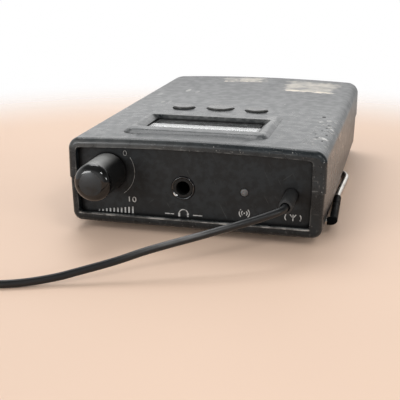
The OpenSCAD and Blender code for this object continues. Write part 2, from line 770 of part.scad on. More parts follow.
// One line for each sub-part
front_shell();
rear_shell();
end_panel();
lcd_window();
lcd_glass();
lcd_holder();
button_left();
button_middle();
button_right();
plunger_left();
plunger_middle();
plunger_right();
tact_switches();
display_board();
display_screws();
main_board();
board_screws();
board_header();
rf_shield();
board_components();
volume_knob();
pot_shaft();
volume_pot();
phones_jack();
jack_ring();
rf_led();
antenna_boot();
antenna_lead();
antenna_wire();
battery_cell_left();
battery_cell_right();
battery_springs();
battery_plates();
battery_door();
belt_clip();
clip_sleeve_left();
clip_sleeve_right();
case_screws();
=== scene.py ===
"""Looks of a belt-worn wireless audio pack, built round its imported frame.

The pack lies on the wire of its belt clip with the control end toward -Y. Finishes and the stage
are in metres in the frame's own axes. The sizes of the sub-assemblies are in millimetres, and
their places are measured from the middle of the control end: across, back from the rim and up
from the case floor.
"""

from __future__ import annotations

import json
import logging
import math
from dataclasses import dataclass, field
from enum import Enum
from functools import reduce
from typing import Sequence

import bmesh
import bpy
from mathutils import Matrix, Vector

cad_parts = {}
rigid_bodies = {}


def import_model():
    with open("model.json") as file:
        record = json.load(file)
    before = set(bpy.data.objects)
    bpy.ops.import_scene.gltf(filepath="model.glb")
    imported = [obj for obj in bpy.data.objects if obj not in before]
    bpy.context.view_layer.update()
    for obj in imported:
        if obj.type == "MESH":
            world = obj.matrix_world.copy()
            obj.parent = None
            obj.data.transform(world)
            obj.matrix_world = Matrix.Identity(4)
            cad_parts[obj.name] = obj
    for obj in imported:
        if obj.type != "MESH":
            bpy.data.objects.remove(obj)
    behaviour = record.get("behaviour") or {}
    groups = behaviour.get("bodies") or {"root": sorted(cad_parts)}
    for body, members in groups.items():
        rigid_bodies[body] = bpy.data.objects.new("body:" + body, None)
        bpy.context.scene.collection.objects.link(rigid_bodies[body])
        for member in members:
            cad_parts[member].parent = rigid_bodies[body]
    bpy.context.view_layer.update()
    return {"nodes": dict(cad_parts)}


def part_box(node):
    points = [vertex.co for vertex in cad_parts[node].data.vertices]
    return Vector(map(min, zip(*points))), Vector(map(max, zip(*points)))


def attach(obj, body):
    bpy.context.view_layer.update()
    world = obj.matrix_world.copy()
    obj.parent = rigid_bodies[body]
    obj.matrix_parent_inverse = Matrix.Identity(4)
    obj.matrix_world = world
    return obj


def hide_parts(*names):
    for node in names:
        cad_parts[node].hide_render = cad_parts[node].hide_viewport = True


LOG = logging.getLogger("audio_pack")
MM = 0.001
MERGE_DISTANCE = 2e-6
FLAT_ANGLE = math.radians(0.05)
CREASE = 38.0
WIRE_CREASE = 60.0
EDGE_SEGMENTS = 2
EDGE_PROFILE = 0.6

Span = tuple[float, float]
Colour = tuple[float, float, float]
Point = tuple[float, float, float]
Line = list[Span]
Mesh = bmesh.types.BMesh
Corner = bmesh.types.BMVert
Piece = bpy.types.Object
Material = bpy.types.Material
Socket = bpy.types.NodeSocket


class Body(Enum):
    """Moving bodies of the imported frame."""

    CASE = "case"
    KNOB = "knob"
    KEY_LEFT = "key_left"
    KEY_MIDDLE = "key_middle"
    KEY_RIGHT = "key_right"
    DOOR = "door"
    CLIP = "clip"


class Slot(Enum):
    """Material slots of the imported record."""

    CASE = "case_plastic"
    PANEL = "panel_plastic"
    WINDOW = "window_clear"
    LCD = "lcd_cell"
    WHITE = "white_plastic"
    KEY = "key_plastic"
    BLACK = "black_plastic"
    GLOSS = "gloss_black"
    NICKEL = "nickel"
    LAMP = "lamp_lens"
    RUBBER = "black_rubber"
    CORD = "cord_black"
    CELL = "cell_jacket"
    SCREW = "black_steel"


class Case:
    """Turns places on the case, in millimetres, into points of the frame."""

    def __init__(self) -> None:
        """Reads the rim and the floor of the case from the frame."""
        self.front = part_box("front_shell")[0].y
        self.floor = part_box("rear_shell")[0].z

    def at(self, x: float, y: float, z: float) -> Vector:
        """Point in metres that lies so far right of the middle, behind the rim and over the floor."""
        return Vector((x * MM, self.front + y * MM, self.floor + z * MM))


# Patterns


@dataclass(frozen=True)
class Cloud:
    """Noise with features per metre, octaves and the two levels between which it counts."""

    scale: float
    detail: float
    low: float
    high: float


@dataclass(frozen=True)
class Drift:
    """Noise with features per metre and octaves, stretched from a lowest to a highest value."""

    scale: float
    detail: float
    low: float
    high: float


@dataclass(frozen=True)
class Scratches:
    """Straight scratches with turns in degrees, counts per metre across and along, and a noise level."""

    turn: Point
    fine: float
    long: float
    level: float


@dataclass(frozen=True)
class Specks:
    """Round specks with cells per metre, the share of cells that hold one, and its radius in cells."""

    scale: float
    share: float
    size: float


# Node trees


class Wiring:
    """Node tree with short calls that add nodes and feed their inputs."""

    def __init__(self, tree: bpy.types.NodeTree) -> None:
        """Keeps the tree and empties it."""
        self.tree = tree
        tree.nodes.clear()

    def feed(self, socket: Socket, value: object) -> None:
        """Links a socket, or sets it where the value is plain.

        Args:
            socket: Input to feed.
            value: Output socket, number, colour or vector.
        """
        if isinstance(value, Socket):
            self.tree.links.new(value, socket)
        elif isinstance(value, tuple) and socket.type == "RGBA":
            socket.default_value = (*value, 1.0)
        else:
            socket.default_value = value

    def node(self, kind: str, feeds: dict[object, object] | None = None,
             **options: object) -> bpy.types.Node:
        """Adds a node.

        Args:
            kind: Node type.
            feeds: Values by input name or number.
            **options: Node properties.

        Returns:
            The node.
        """
        made = self.tree.nodes.new(kind)
        for key, value in options.items():
            setattr(made, key, value)
        for key, value in (feeds or {}).items():
            self.feed(made.inputs[key], value)
        return made


class ShaderTree(Wiring):
    """Node tree of one material, with short calls for what the finishes share."""

    wander: float = 340.0
    wander_detail: float = 4.0
    scratch_soft: float = 0.05
    spot_from: Span = (1.0, 0.25)
    corner_from: Span = (0.92, 0.55)
    edge_from: Span = (0.985, 0.90)

    def __init__(self, name: str) -> None:
        """Starts a material with a principled shader.

        Args:
            name: Name of the material.
        """
        self.material = bpy.data.materials.new(name)
        self.material.use_nodes = True
        super().__init__(self.material.node_tree)
        self.bsdf = self.node("ShaderNodeBsdfPrincipled")
        self.output = self.node("ShaderNodeOutputMaterial", {"Surface": self.bsdf.outputs["BSDF"]})
        self.place = self.node("ShaderNodeTexCoord").outputs["Object"]
        self.x, self.y, self.z = self.node("ShaderNodeSeparateXYZ", {0: self.place}).outputs

    def set(self, **values: object) -> None:
        """Feeds the principled shader, with underscores for the spaces of its input names."""
        for key, value in values.items():
            self.feed(self.bsdf.inputs[key.replace("_", " ")], value)

    def math(self, kind: str, a: object, b: object) -> Socket:
        """One arithmetic step."""
        return self.node("ShaderNodeMath", {0: a, 1: b}, operation=kind).outputs[0]

    def times(self, *values: object) -> Socket:
        """Product of the values."""
        return reduce(lambda a, b: self.math("MULTIPLY", a, b), values)

    def most(self, *values: object) -> Socket:
        """Greatest of the values."""
        return reduce(lambda a, b: self.math("MAXIMUM", a, b), values)

    def total(self, *values: object) -> Socket:
        """Sum of the values."""
        return reduce(lambda a, b: self.math("ADD", a, b), values)

    def squares(self, *values: object) -> Socket:
        """Sum of the squares of the values."""
        return self.total(*(self.times(v, v) for v in values))

    def turned(self, scale: Point, turn: Point) -> Socket:
        """Object coordinates, turned and then stretched.

        Args:
            scale: Stretch along each axis.
            turn: Turn about each axis in degrees.

        Returns:
            The coordinates.
        """
        angles = tuple(math.radians(a) for a in turn)
        turning = self.node("ShaderNodeMapping", {"Vector": self.place, "Rotation": angles})
        feeds = {"Vector": turning.outputs[0], "Scale": scale}
        return self.node("ShaderNodeMapping", feeds).outputs[0]

    def noise(self, scale: float, detail: float = 2.0, at: Socket | None = None) -> Socket:
        """Smooth noise from 0 to 1: features per metre, octaves, and coordinates if not the object's."""
        feeds = {"Vector": at or self.place, "Scale": scale, "Detail": detail}
        return self.node("ShaderNodeTexNoise", feeds).outputs["Fac"]

    def rise(self, value: object, low: float, high: float) -> Socket:
        """Smooth step from 0 at low to 1 at high, or downward where low is the greater."""
        feeds = {0: value, 1: min(low, high), 2: max(low, high), 3: float(low > high), 4: float(low < high)}
        return self.node("ShaderNodeMapRange", feeds, interpolation_type="SMOOTHSTEP").outputs[0]

    def near(self, axis: Socket, place: float, span: Span) -> Socket:
        """Smooth step between two distances from a place on an axis."""
        return self.rise(axis, place + span[0], place + span[1])

    def scaled(self, value: object, low: float, high: float) -> Socket:
        """Value from 0 to 1 stretched to the span from low to high."""
        feeds = {0: value, 1: 0.0, 2: 1.0, 3: low, 4: high}
        return self.node("ShaderNodeMapRange", feeds).outputs[0]

    def cloud(self, kind: Cloud, level: float = 0.0) -> Socket:
        """Mask of a cloud, with both of its levels raised by so much."""
        return self.rise(self.noise(kind.scale, kind.detail), level + kind.low, level + kind.high)

    def drift(self, kind: Drift) -> Socket:
        """Value that drifts over the surface."""
        return self.scaled(self.noise(kind.scale, kind.detail), kind.low, kind.high)

    def mix(self, share: object, a: object, b: object) -> Socket:
        """Colour between a and b, with so large a share of b."""
        return self.node("ShaderNodeMix", {0: share, 6: a, 7: b}, data_type="RGBA").outputs[2]

    def bump(self, height: Socket, depth: float, strength: float) -> Socket:
        """Normal of a surface whose height goes from 0 to 1, with the depth of that step in metres."""
        feeds = {"Strength": strength, "Distance": depth, "Height": height}
        return self.node("ShaderNodeBump", feeds).outputs[0]

    def box(self, low: Span, high: Span, soft: float, ragged: float = 0.0) -> Socket:
        """Mask of a box across the x and y axes.

        Args:
            low: Lowest x and y.
            high: Highest x and y.
            soft: Width of its soft border.
            ragged: Distance by which its border wanders.

        Returns:
            1 inside and 0 outside.
        """
        mask: object = 1.0
        for axis, a, b in zip((self.x, self.y), low, high):
            if ragged:
                drift = Drift(self.wander + abs(a) / MM, self.wander_detail, -2.0 * ragged, 2.0 * ragged)
                axis = self.total(axis, self.drift(drift))
            mask = self.times(mask, self.rise(axis, a - soft, a + soft), self.rise(axis, b + soft, b - soft))
        return mask

    def spot(self, low: Span, high: Span) -> Socket:
        """Mask of a soft oval spot in a box across the x and y axes."""
        off = [self.math("DIVIDE", self.math("SUBTRACT", axis, (a + b) / 2), (b - a) / 2)
               for axis, a, b in zip((self.x, self.y), low, high)]
        return self.rise(self.squares(*off), *self.spot_from)

    def corners(self, reach: float) -> Socket:
        """Mask of inner corners, from the walls within reach, where a painted shade goes."""
        near = self.node("ShaderNodeAmbientOcclusion", {"Distance": reach}, samples=8)
        return self.rise(near.outputs["AO"], *self.corner_from)

    def edges(self, radius: float) -> Socket:
        """Mask of outer edges, from the angle between the face and its rounded normal.

        Args:
            radius: Radius of the rounding.

        Returns:
            1 on an edge and 0 on open faces.
        """
        rounded = self.node("ShaderNodeBevel", {"Radius": radius}, samples=4).outputs[0]
        feeds = {0: rounded, 1: self.node("ShaderNodeNewGeometry").outputs["Normal"]}
        facing = self.node("ShaderNodeVectorMath", feeds, operation="DOT_PRODUCT").outputs["Value"]
        return self.rise(facing, *self.edge_from)

    def specks(self, kind: Specks) -> Socket:
        """Mask of small round specks.

        Args:
            kind: The specks.

        Returns:
            1 on a speck.
        """
        cells = self.node("ShaderNodeTexVoronoi", {"Vector": self.place, "Scale": kind.scale}).outputs
        tint = self.node("ShaderNodeSeparateColor", {0: cells["Color"]}).outputs
        chosen = self.math("GREATER_THAN", tint[0], 1.0 - kind.share)
        near = self.math("LESS_THAN", cells["Distance"], self.times(tint[1], kind.size))
        return self.times(chosen, near)

    def scratched(self, *kinds: Scratches) -> Socket:
        """Mask of straight scratches of one or more kinds.

        Args:
            *kinds: The scratches.

        Returns:
            1 in a scratch.
        """
        masks: list[Socket] = []
        for kind in kinds:
            streaks = self.noise(1.0, 1.0, self.turned((kind.long, kind.fine, kind.fine), kind.turn))
            masks.append(self.rise(streaks, kind.level, kind.level + self.scratch_soft))
        return self.most(*masks)


# Finishes


def toned(colour: Colour, share: float) -> Colour:
    """The colour made lighter or darker by a share, up to white."""
    return tuple(min(1.0, share * c) for c in colour)


class Finish:
    """Finish that builds its own material.

    Plain noise is given by its features per metre and octaves. A field whose name ends in from or to
    holds two levels, distances or shares between which a mask rises.
    """

    name: str

    def make(self) -> Material:
        """Builds the material.

        Returns:
            The material.
        """
        t = ShaderTree(self.name)
        self.dress(t)
        return t.material

    def dress(self, t: ShaderTree) -> None:
        """Feeds the shader, in each finish by its own rule."""
        raise NotImplementedError


class Wear(Enum):
    """Colours of the worn patches on the top face, in the order in which they cover each other."""

    RUB = (0.24, 0.24, 0.23)
    BLISTER = (0.42, 0.41, 0.39)
    GLUE = (0.86, 0.77, 0.64)
    DAB = (0.52, 0.51, 0.46)
    PIT = (0.003, 0.003, 0.003)


@dataclass(frozen=True)
class Patch:
    """Worn patch on the top face."""

    wear: Wear
    low: Span
    high: Span
    cover: float


@dataclass(frozen=True)
class TopWear:
    """Worn patches of the top face.

    A border has the width of its soft edge and the distance by which it wanders. The levels of the
    film, the roll and the flakes count from the cover of the patch.
    """

    top: float
    patches: tuple[Patch, ...]
    under_from: Span = (-0.0012, -0.0004)
    film: Cloud = Cloud(210.0, 7.0, -0.10, 0.22)
    film_share: Span = (0.16, 0.62)
    film_drift: Drift = Drift(900.0, 4.0, 0.5, 1.0)
    film_border: Span = (0.0022, 0.0026)
    roll: Cloud = Cloud(300.0, 5.0, -0.10, 0.12)
    roll_share: float = 0.9
    roll_width: float = 0.0018
    roll_border: Span = (0.0006, 0.0012)
    flakes: Cloud = Cloud(640.0, 5.0, 0.0, 0.12)
    flake_border: Span = (0.0012, 0.0016)
    mottle: Cloud = Cloud(750.0, 5.0, 0.35, 0.65)
    mottle_least: float = 0.25
    rub_border: Span = (0.0004, 0.0005)

    def masks(self, t: ShaderTree) -> dict[Wear, Socket]:
        """Masks of the patches, one for each kind that there is.

        Args:
            t: Tree of the material.

        Returns:
            The masks, in the order in which they cover each other.
        """
        looks = {Wear.RUB: self.rubbed, Wear.BLISTER: self.raised, Wear.GLUE: self.torn}
        upper = t.near(t.z, self.top, self.under_from)
        found: dict[Wear, Socket] = {}
        for wear in Wear:
            masks = [looks.get(wear, self.round)(t, p) for p in self.patches if p.wear is wear]
            if masks:
                found[wear] = t.times(t.most(*masks), upper)
        return found

    def torn(self, t: ShaderTree, patch: Patch) -> Socket:
        """Mask of a torn film of glue with a thick rolled edge in front.

        Args:
            t: Tree of the material.
            patch: Its place and cover.

        Returns:
            The mask.
        """
        film = t.times(t.scaled(t.cloud(self.film, patch.cover), *self.film_share),
                       t.box(patch.low, patch.high, *self.film_border), t.drift(self.film_drift))
        front = (patch.high[0], patch.low[1] + self.roll_width)
        roll = t.times(t.box(patch.low, front, *self.roll_border), t.cloud(self.roll, patch.cover),
                       self.roll_share)
        return t.most(film, roll)

    def round(self, t: ShaderTree, patch: Patch) -> Socket:
        """Mask of a soft round spot."""
        return t.times(t.spot(patch.low, patch.high), patch.cover)

    def raised(self, t: ShaderTree, patch: Patch) -> Socket:
        """Mask of a lifted and flaked coat."""
        return t.times(t.cloud(self.flakes, patch.cover), t.box(patch.low, patch.high, *self.flake_border))

    def rubbed(self, t: ShaderTree, patch: Patch) -> Socket:
        """Mask of a rubbed and mottled stretch of an edge."""
        mottle = t.scaled(t.cloud(self.mottle), self.mottle_least * patch.cover, patch.cover)
        return t.times(mottle, t.box(patch.low, patch.high, *self.rub_border))


@dataclass(frozen=True)
class EndWearAndSheen:
    """Wear of the control end: fine marks that thin out behind the rim, and a painted sheen on the left of
    the rim's top edge.

    The surface is duller toward the tail. Distances are from the front rim or the top, and sideways
    from the middle. Without a top there is no painted rim sheen.
    """

    front: float
    top: float | None = None
    # Colour of the fine marks, and of the painted rim sheen.
    tone: Colour = (0.30, 0.30, 0.29)
    dots: Specks = Specks(1500.0, 0.10, 0.26)
    dot_cover: float = 0.7
    lines: tuple[Scratches, ...] = (
        Scratches((0, 0, 0), 2400.0, 150.0, 0.66),
        Scratches((0, 90, 20), 2400.0, 220.0, 0.68),
    )
    line_cover: float = 0.22
    marks_to: Span = (0.010, 0.001)
    marks_share: Span = (0.2, 1.0)
    rim_sheen_to: Span = (0.0016, 0.0008)
    rim_sheen_under_from: Span = (-0.0034, -0.0016)
    rim_sheen_side_from: Span = (0.018, -0.024)
    rim_sheen_drift: Drift = Drift(450.0, 4.0, 0.02, 0.22)
    dulled_from: Span = (0.03, 0.10)
    dulled: float = 0.08

    def mask(self, t: ShaderTree) -> Socket:
        """Mask of the marks and the painted rim sheen.

        Args:
            t: Tree of the material.

        Returns:
            The mask.
        """
        marks = t.most(t.times(t.specks(self.dots), self.dot_cover),
                       t.times(t.scratched(*self.lines), self.line_cover))
        worn = t.times(marks, t.scaled(t.near(t.y, self.front, self.marks_to), *self.marks_share))
        if self.top is None:
            return worn
        # Painted sheen: a pale band on the rim's top edge, stronger toward the left, where the front-left
        # light falls.
        rim = t.times(t.near(t.y, self.front, self.rim_sheen_to), t.near(t.z, self.top, self.rim_sheen_under_from),
                      t.rise(t.x, *self.rim_sheen_side_from), t.drift(self.rim_sheen_drift))
        return t.most(worn, rim)

    def dulling(self, t: ShaderTree) -> Socket:
        """Roughness that the surface gains toward the tail."""
        return t.times(t.near(t.y, self.front, self.dulled_from), self.dulled)


@dataclass(frozen=True)
class LedgeHighlight:
    """Painted highlight along the lit ledge at the foot of the panel recess, broken up by mottle."""

    left: float
    right: float
    y: float
    z: float
    under_from: Span = (-0.00026, -0.00014)
    over_to: Span = (0.0003, 0.0001)
    depth: Span = (-0.002, 0.0009)
    soft: float = 0.0003
    mottle: Cloud = Cloud(330.0, 5.0, 0.40, 0.60)
    cover: Span = (0.12, 0.8)

    def mask(self, t: ShaderTree) -> Socket:
        """Mask of the pale line.

        Args:
            t: Tree of the material.

        Returns:
            The mask.
        """
        front, back = (self.y + step for step in self.depth)
        return t.times(t.near(t.z, self.z, self.under_from), t.near(t.z, self.z, self.over_to),
                       t.box((self.left, front), (self.right, back), self.soft),
                       t.scaled(t.cloud(self.mottle), *self.cover))


@dataclass(frozen=True)
class CasePlastic(Finish):
    """Satin black moulded plastic with smears, scuffs, flecks, rubbed edges and painted shade in its inner
    corners, and where given a painted sheen on the rim and a painted highlight on the recess ledge.
    """

    name: str
    tone: Colour = (0.0088, 0.0120, 0.0140)
    lighter: float = 1.5
    worn: Colour = (0.085, 0.084, 0.081)
    fleck: Colour = (0.42, 0.41, 0.39)
    fleck_scale: float = 620.0
    fleck_share: float = 0.035
    fleck_size: float = 0.14
    fleck_cover: float = 0.8
    # Colour of the painted shade in inner corners, and how far the walls reach for it.
    corner_shade: Colour = (0.002, 0.002, 0.002)
    corner_shade_reach: float = 0.0009
    smear: Span = (420.0, 4.0)
    smear_from: Span = (0.35, 0.75)
    edge_r: float = 0.0006
    edge_from: Span = (0.42, 0.60)
    scuffs: tuple[Scratches, ...] = (
        Scratches((0, 0, 24), 2600.0, 60.0, 0.71),
        Scratches((0, 14, -52), 3200.0, 90.0, 0.73),
    )
    scuff_cover: float = 0.45
    roughness: Span = (0.26, 0.34)
    rough_from: Span = (0.34, 0.66)
    film_roughness: float = 0.7
    specular: float = 0.31
    coat: float = 0.12
    coat_roughness: float = 0.30
    grain: float = 2300.0
    grain_height: float = 0.45
    ripple: Span = (1150.0, 3.0)
    ripple_height: float = 0.20
    scuff_height: float = -0.3
    glue_height: float = 0.6
    blister_height: float = 12.0
    relief: float = 0.000024
    relief_share: float = 0.6
    end_wear_and_sheen: EndWearAndSheen | None = None
    top_wear: TopWear | None = None
    ledge_highlight: LedgeHighlight | None = None

    def dress(self, t: ShaderTree) -> None:
        """Feeds the shader.

        Args:
            t: Tree of the material.
        """
        smear = t.noise(*self.smear)
        scuffs = t.scratched(*self.scuffs)
        flecks = Specks(self.fleck_scale, self.fleck_share, self.fleck_size)
        tone = t.mix(t.rise(smear, *self.smear_from), self.tone, toned(self.tone, self.lighter))
        tone = t.mix(t.times(scuffs, self.scuff_cover), tone, self.worn)
        tone = t.mix(t.times(t.edges(self.edge_r), t.rise(smear, *self.edge_from)), tone, self.worn)
        tone = t.mix(t.times(t.specks(flecks), self.fleck_cover), tone, self.fleck)
        rough = t.scaled(t.rise(smear, *self.rough_from), *self.roughness)
        # Fine marks, and on the upper shell the painted sheen on the rim.
        if self.end_wear_and_sheen:
            tone = t.mix(self.end_wear_and_sheen.mask(t), tone, self.end_wear_and_sheen.tone)
            rough = t.total(rough, self.end_wear_and_sheen.dulling(t))
        marks = self.top_wear.masks(t) if self.top_wear else {}
        for wear, mask in marks.items():
            tone = t.mix(mask, tone, wear.value)
        # Painted highlight: a pale line along the lit ledge at the foot of the recess.
        if self.ledge_highlight:
            tone = t.mix(self.ledge_highlight.mask(t), tone, self.fleck)
        kinds = (Wear.BLISTER, Wear.GLUE, Wear.DAB, Wear.PIT)
        blister, glue, dab, pit = (marks.get(wear, 0.0) for wear in kinds)
        height = t.total(t.times(t.noise(self.grain), self.grain_height),
                         t.times(t.noise(*self.ripple), self.ripple_height),
                         t.times(scuffs, self.scuff_height), t.times(glue, self.glue_height),
                         t.times(blister, self.blister_height))
        # Painted shade: the tone darkens toward black in inner corners, from ambient occlusion.
        corner = t.corners(self.corner_shade_reach)
        film = t.times(t.most(glue, dab), self.film_roughness)
        t.set(Base_Color=t.mix(corner, tone, self.corner_shade), Roughness=t.most(rough, film, pit, corner),
              Normal=t.bump(height, self.relief, self.relief_share), Specular_IOR_Level=self.specular,
              Coat_Weight=self.coat, Coat_Roughness=self.coat_roughness)


@dataclass(frozen=True)
class KnobPlastic(Finish):
    """Black knob with a satin side that carries a pale painted sheen on its upper left, a polished edge and
    a dulled end.
    """

    end: float
    middle: Span
    radius: float
    name: str = "knob_black"
    tone: Colour = (0.0060, 0.0096, 0.0124)
    edge_tone: Colour = (0.002, 0.002, 0.002)
    side_tone: Colour = (0.004, 0.004, 0.004)
    # Colour of the painted sheen, a pale dust tone, on the upper left of the side where the key light falls.
    dust: Colour = (0.34, 0.34, 0.33)
    sheen_toward: Span = (-0.45, 0.89)
    sheen_from: Span = (0.28, 0.92)
    sheen_drift: Drift = Drift(500.0, 4.0, 0.7, 1.1)
    mark: Colour = (0.20, 0.20, 0.19)
    marks: Specks = Specks(1000.0, 0.05, 0.22)
    mark_cover: float = 0.8
    depth: float = 0.0021
    face_from: Span = (0.0004, -0.0004)
    dull_from: Span = (0.67, 0.57)
    rub: Cloud = Cloud(520.0, 4.0, 0.38, 0.66)
    rub_share: Span = (0.35, 1.6)
    side: float = 0.34
    polish: float = 0.09
    dull: float = 0.36
    rough_drift: Drift = Drift(700.0, 4.0, -0.03, 0.04)
    grain: float = 2800.0
    relief: float = 0.000012
    relief_share: float = 0.4
    specular: float = 0.5

    def dress(self, t: ShaderTree) -> None:
        """Feeds the shader.

        Args:
            t: Tree of the material.
        """
        face = t.near(t.y, self.end + self.depth, self.face_from)
        off = [t.math("SUBTRACT", axis, middle) for axis, middle in zip((t.x, t.z), self.middle)]
        flat = t.rise(t.squares(*off), *((share * self.radius) ** 2 for share in self.dull_from))
        # Painted sheen: the upper left of the side is lighter, toward the key light.
        tilt = t.total(*(t.times(axis, side) for axis, side in zip(off, self.sheen_toward)))
        upper_left_sheen = t.rise(tilt, *(share * self.radius for share in self.sheen_from))
        side = t.mix(t.times(upper_left_sheen, t.drift(self.sheen_drift)), self.side_tone, self.dust)
        rubbed = t.times(flat, t.scaled(t.cloud(self.rub), *self.rub_share))
        tone = t.mix(face, side, t.mix(rubbed, self.edge_tone, self.tone))
        tone = t.mix(t.times(t.specks(self.marks), face, self.mark_cover), tone, self.mark)
        end = t.scaled(flat, self.polish, self.dull)
        rough = t.node("ShaderNodeMix", {0: face, 2: self.side, 3: end}).outputs[0]
        t.set(Base_Color=tone, Roughness=t.total(rough, t.drift(self.rough_drift)),
              Normal=t.bump(t.noise(self.grain), self.relief, self.relief_share),
              Specular_IOR_Level=self.specular)


@dataclass(frozen=True)
class PanelPlastic(Finish):
    """Matte black panel with dust, fine scuffs and painted shade in its inner corners."""

    name: str = "panel_black"
    tone: Colour = (0.0056, 0.0068, 0.0077)
    lighter: float = 2.0
    # Colour of the painted shade in inner corners, and how far the walls reach for it.
    corner_shade: Colour = (0.0008, 0.0008, 0.0008)
    corner_shade_reach: float = 0.0014
    dust: Colour = (0.20, 0.20, 0.19)
    specks: Specks = Specks(900.0, 0.05, 0.14)
    speck_cover: float = 0.7
    scuffs: tuple[Scratches, ...] = (
        Scratches((0, 38, 0), 2600.0, 120.0, 0.72),
        Scratches((0, -64, 0), 3000.0, 160.0, 0.74),
    )
    scuff_cover: float = 0.13
    cloud: Span = (110.0, 4.0)
    cloud_from: Span = (0.35, 0.75)
    mottle: Cloud = Cloud(650.0, 4.0, 0.3, 0.7)
    mottle_share: Span = (0.6, 1.5)
    roughness: Span = (0.44, 0.56)
    rough_from: Span = (0.3, 0.7)
    grain: float = 3000.0
    relief: float = 0.00003
    relief_share: float = 0.5
    specular: float = 0.27

    def dress(self, t: ShaderTree) -> None:
        """Feeds the shader.

        Args:
            t: Tree of the material.
        """
        cloud = t.noise(*self.cloud)
        mottled = t.times(cloud, t.scaled(t.cloud(self.mottle), *self.mottle_share))
        tone = t.mix(t.rise(mottled, *self.cloud_from), self.tone, toned(self.tone, self.lighter))
        tone = t.mix(t.times(t.scratched(*self.scuffs), self.scuff_cover), tone, self.dust)
        tone = t.mix(t.times(t.specks(self.specks), self.speck_cover), tone, self.dust)
        # Painted shade: darker in inner corners and along the recess walls, from ambient occlusion.
        corner = t.corners(self.corner_shade_reach)
        rough = t.most(t.scaled(t.rise(cloud, *self.rough_from), *self.roughness), corner)
        t.set(Base_Color=t.mix(corner, tone, self.corner_shade), Roughness=rough,
              Normal=t.bump(t.noise(self.grain), self.relief, self.relief_share),
              Specular_IOR_Level=self.specular)


@dataclass(frozen=True)
class SmoothPolymer(Finish):
    """Plain plastic or rubber with a fine grain and small marks."""

    name: str
    tone: Colour
    lighter: float = 1.35
    cloud: Span = (260.0, 3.0)
    cloud_from: Span = (0.35, 0.75)
    roughness: Span = (0.3, 0.42)
    rough_from: Span = (0.3, 0.7)
    grain: float = 2600.0
    relief: float = 0.00002
    relief_share: float = 0.6
    mark: Colour = (0.22, 0.22, 0.21)
    mark_scale: float = 900.0
    mark_share: float = 0.0
    mark_size: float = 0.24
    specular: float = 0.5

    def dress(self, t: ShaderTree) -> None:
        """Feeds the shader.

        Args:
            t: Tree of the material.
        """
        cloud = t.noise(*self.cloud)
        tone = self.clouded(t, cloud)
        if self.mark_share:
            tone = t.mix(t.specks(Specks(self.mark_scale, self.mark_share, self.mark_size)), tone, self.mark)
        t.set(Base_Color=tone, Roughness=t.scaled(t.rise(cloud, *self.rough_from), *self.roughness),
              Normal=t.bump(t.noise(self.grain), self.relief, self.relief_share),
              Specular_IOR_Level=self.specular)

    def clouded(self, t: ShaderTree, cloud: Socket) -> Socket:
        """Colour of the surface, a little lighter in clouds."""
        return t.mix(t.rise(cloud, *self.cloud_from), self.tone, toned(self.tone, self.lighter))


@dataclass(frozen=True)
class WireJacket(SmoothPolymer):
    """Limp black jacket with a pale painted sheen on its upper side along one stretch."""

    sheen_colour: Colour = (0.14, 0.14, 0.14)
    sheen_share: Span = (0.6, 1.0)
    upper_from: Span = (0.0, 0.8)
    stretch: Span = (0.0, 0.0)

    def clouded(self, t: ShaderTree, cloud: Socket) -> Socket:
        """Colour of the jacket.

        Args:
            t: Tree of the material.
            cloud: Noise from 0 to 1.

        Returns:
            The colour.
        """
        left, right = self.stretch
        middle = (left + right) / 2
        # Painted sheen: the upward-facing side is lighter along one stretch.
        normal = t.node("ShaderNodeNewGeometry").outputs["Normal"]
        upper = t.rise(t.node("ShaderNodeSeparateXYZ", {0: normal}).outputs[2], *self.upper_from)
        upper_sheen = t.times(t.rise(t.x, left, middle), t.rise(t.x, right, middle),
                          t.scaled(t.rise(cloud, *self.rough_from), *self.sheen_share), upper)
        return t.mix(upper_sheen, self.tone, self.sheen_colour)


@dataclass(frozen=True)
class BareMetal(Finish):
    """Plated or bare metal with dulled spots and drawn lines, given by their counts across and along."""

    name: str
    tone: Colour
    dull: Colour
    roughness: Span = (0.16, 0.34)
    rough_from: Span = (0.35, 0.75)
    cloud: Span = (300.0, 4.0)
    dull_from: Span = (0.5, 0.8)
    lines: Span = (4200.0, 90.0)
    relief: float = 0.00001
    relief_share: float = 0.4

    def dress(self, t: ShaderTree) -> None:
        """Feeds the shader.

        Args:
            t: Tree of the material.
        """
        cloud = t.noise(*self.cloud)
        fine, long = self.lines
        drawn = t.noise(1.0, 2.0, t.turned((fine, long, fine), (0, 0, 0)))
        tone = self.rubbed(t, t.mix(t.rise(cloud, *self.dull_from), self.tone, self.dull))
        t.set(Base_Color=tone, Metallic=1.0, Normal=t.bump(drawn, self.relief, self.relief_share),
              Roughness=t.scaled(t.rise(cloud, *self.rough_from), *self.roughness))

    def rubbed(self, t: ShaderTree, tone: Socket) -> Socket:
        """Colour of the metal with a painted glint, which here has none."""
        return tone


@dataclass(frozen=True)
class RingPlate(BareMetal):
    """Dark plating of the socket ring, with a painted glint: a bright spot on its inner lip."""

    # Colour, place and radius of the painted glint.
    bright: Colour = (0.80, 0.79, 0.77)
    rub: Span = (0.0, 0.0)
    glint_r: float = 0.0007
    glint_from: Span = (1.0, 0.5)

    def rubbed(self, t: ShaderTree, tone: Socket) -> Socket:
        """Colour of the plating with its painted glint.

        Args:
            t: Tree of the material.
            tone: Colour of the plating elsewhere.

        Returns:
            The colour.
        """
        off = [t.math("SUBTRACT", axis, middle) for axis, middle in zip((t.x, t.z), self.rub)]
        place = t.rise(t.squares(*off), *((share * self.glint_r) ** 2 for share in self.glint_from))
        return t.mix(place, tone, self.bright)


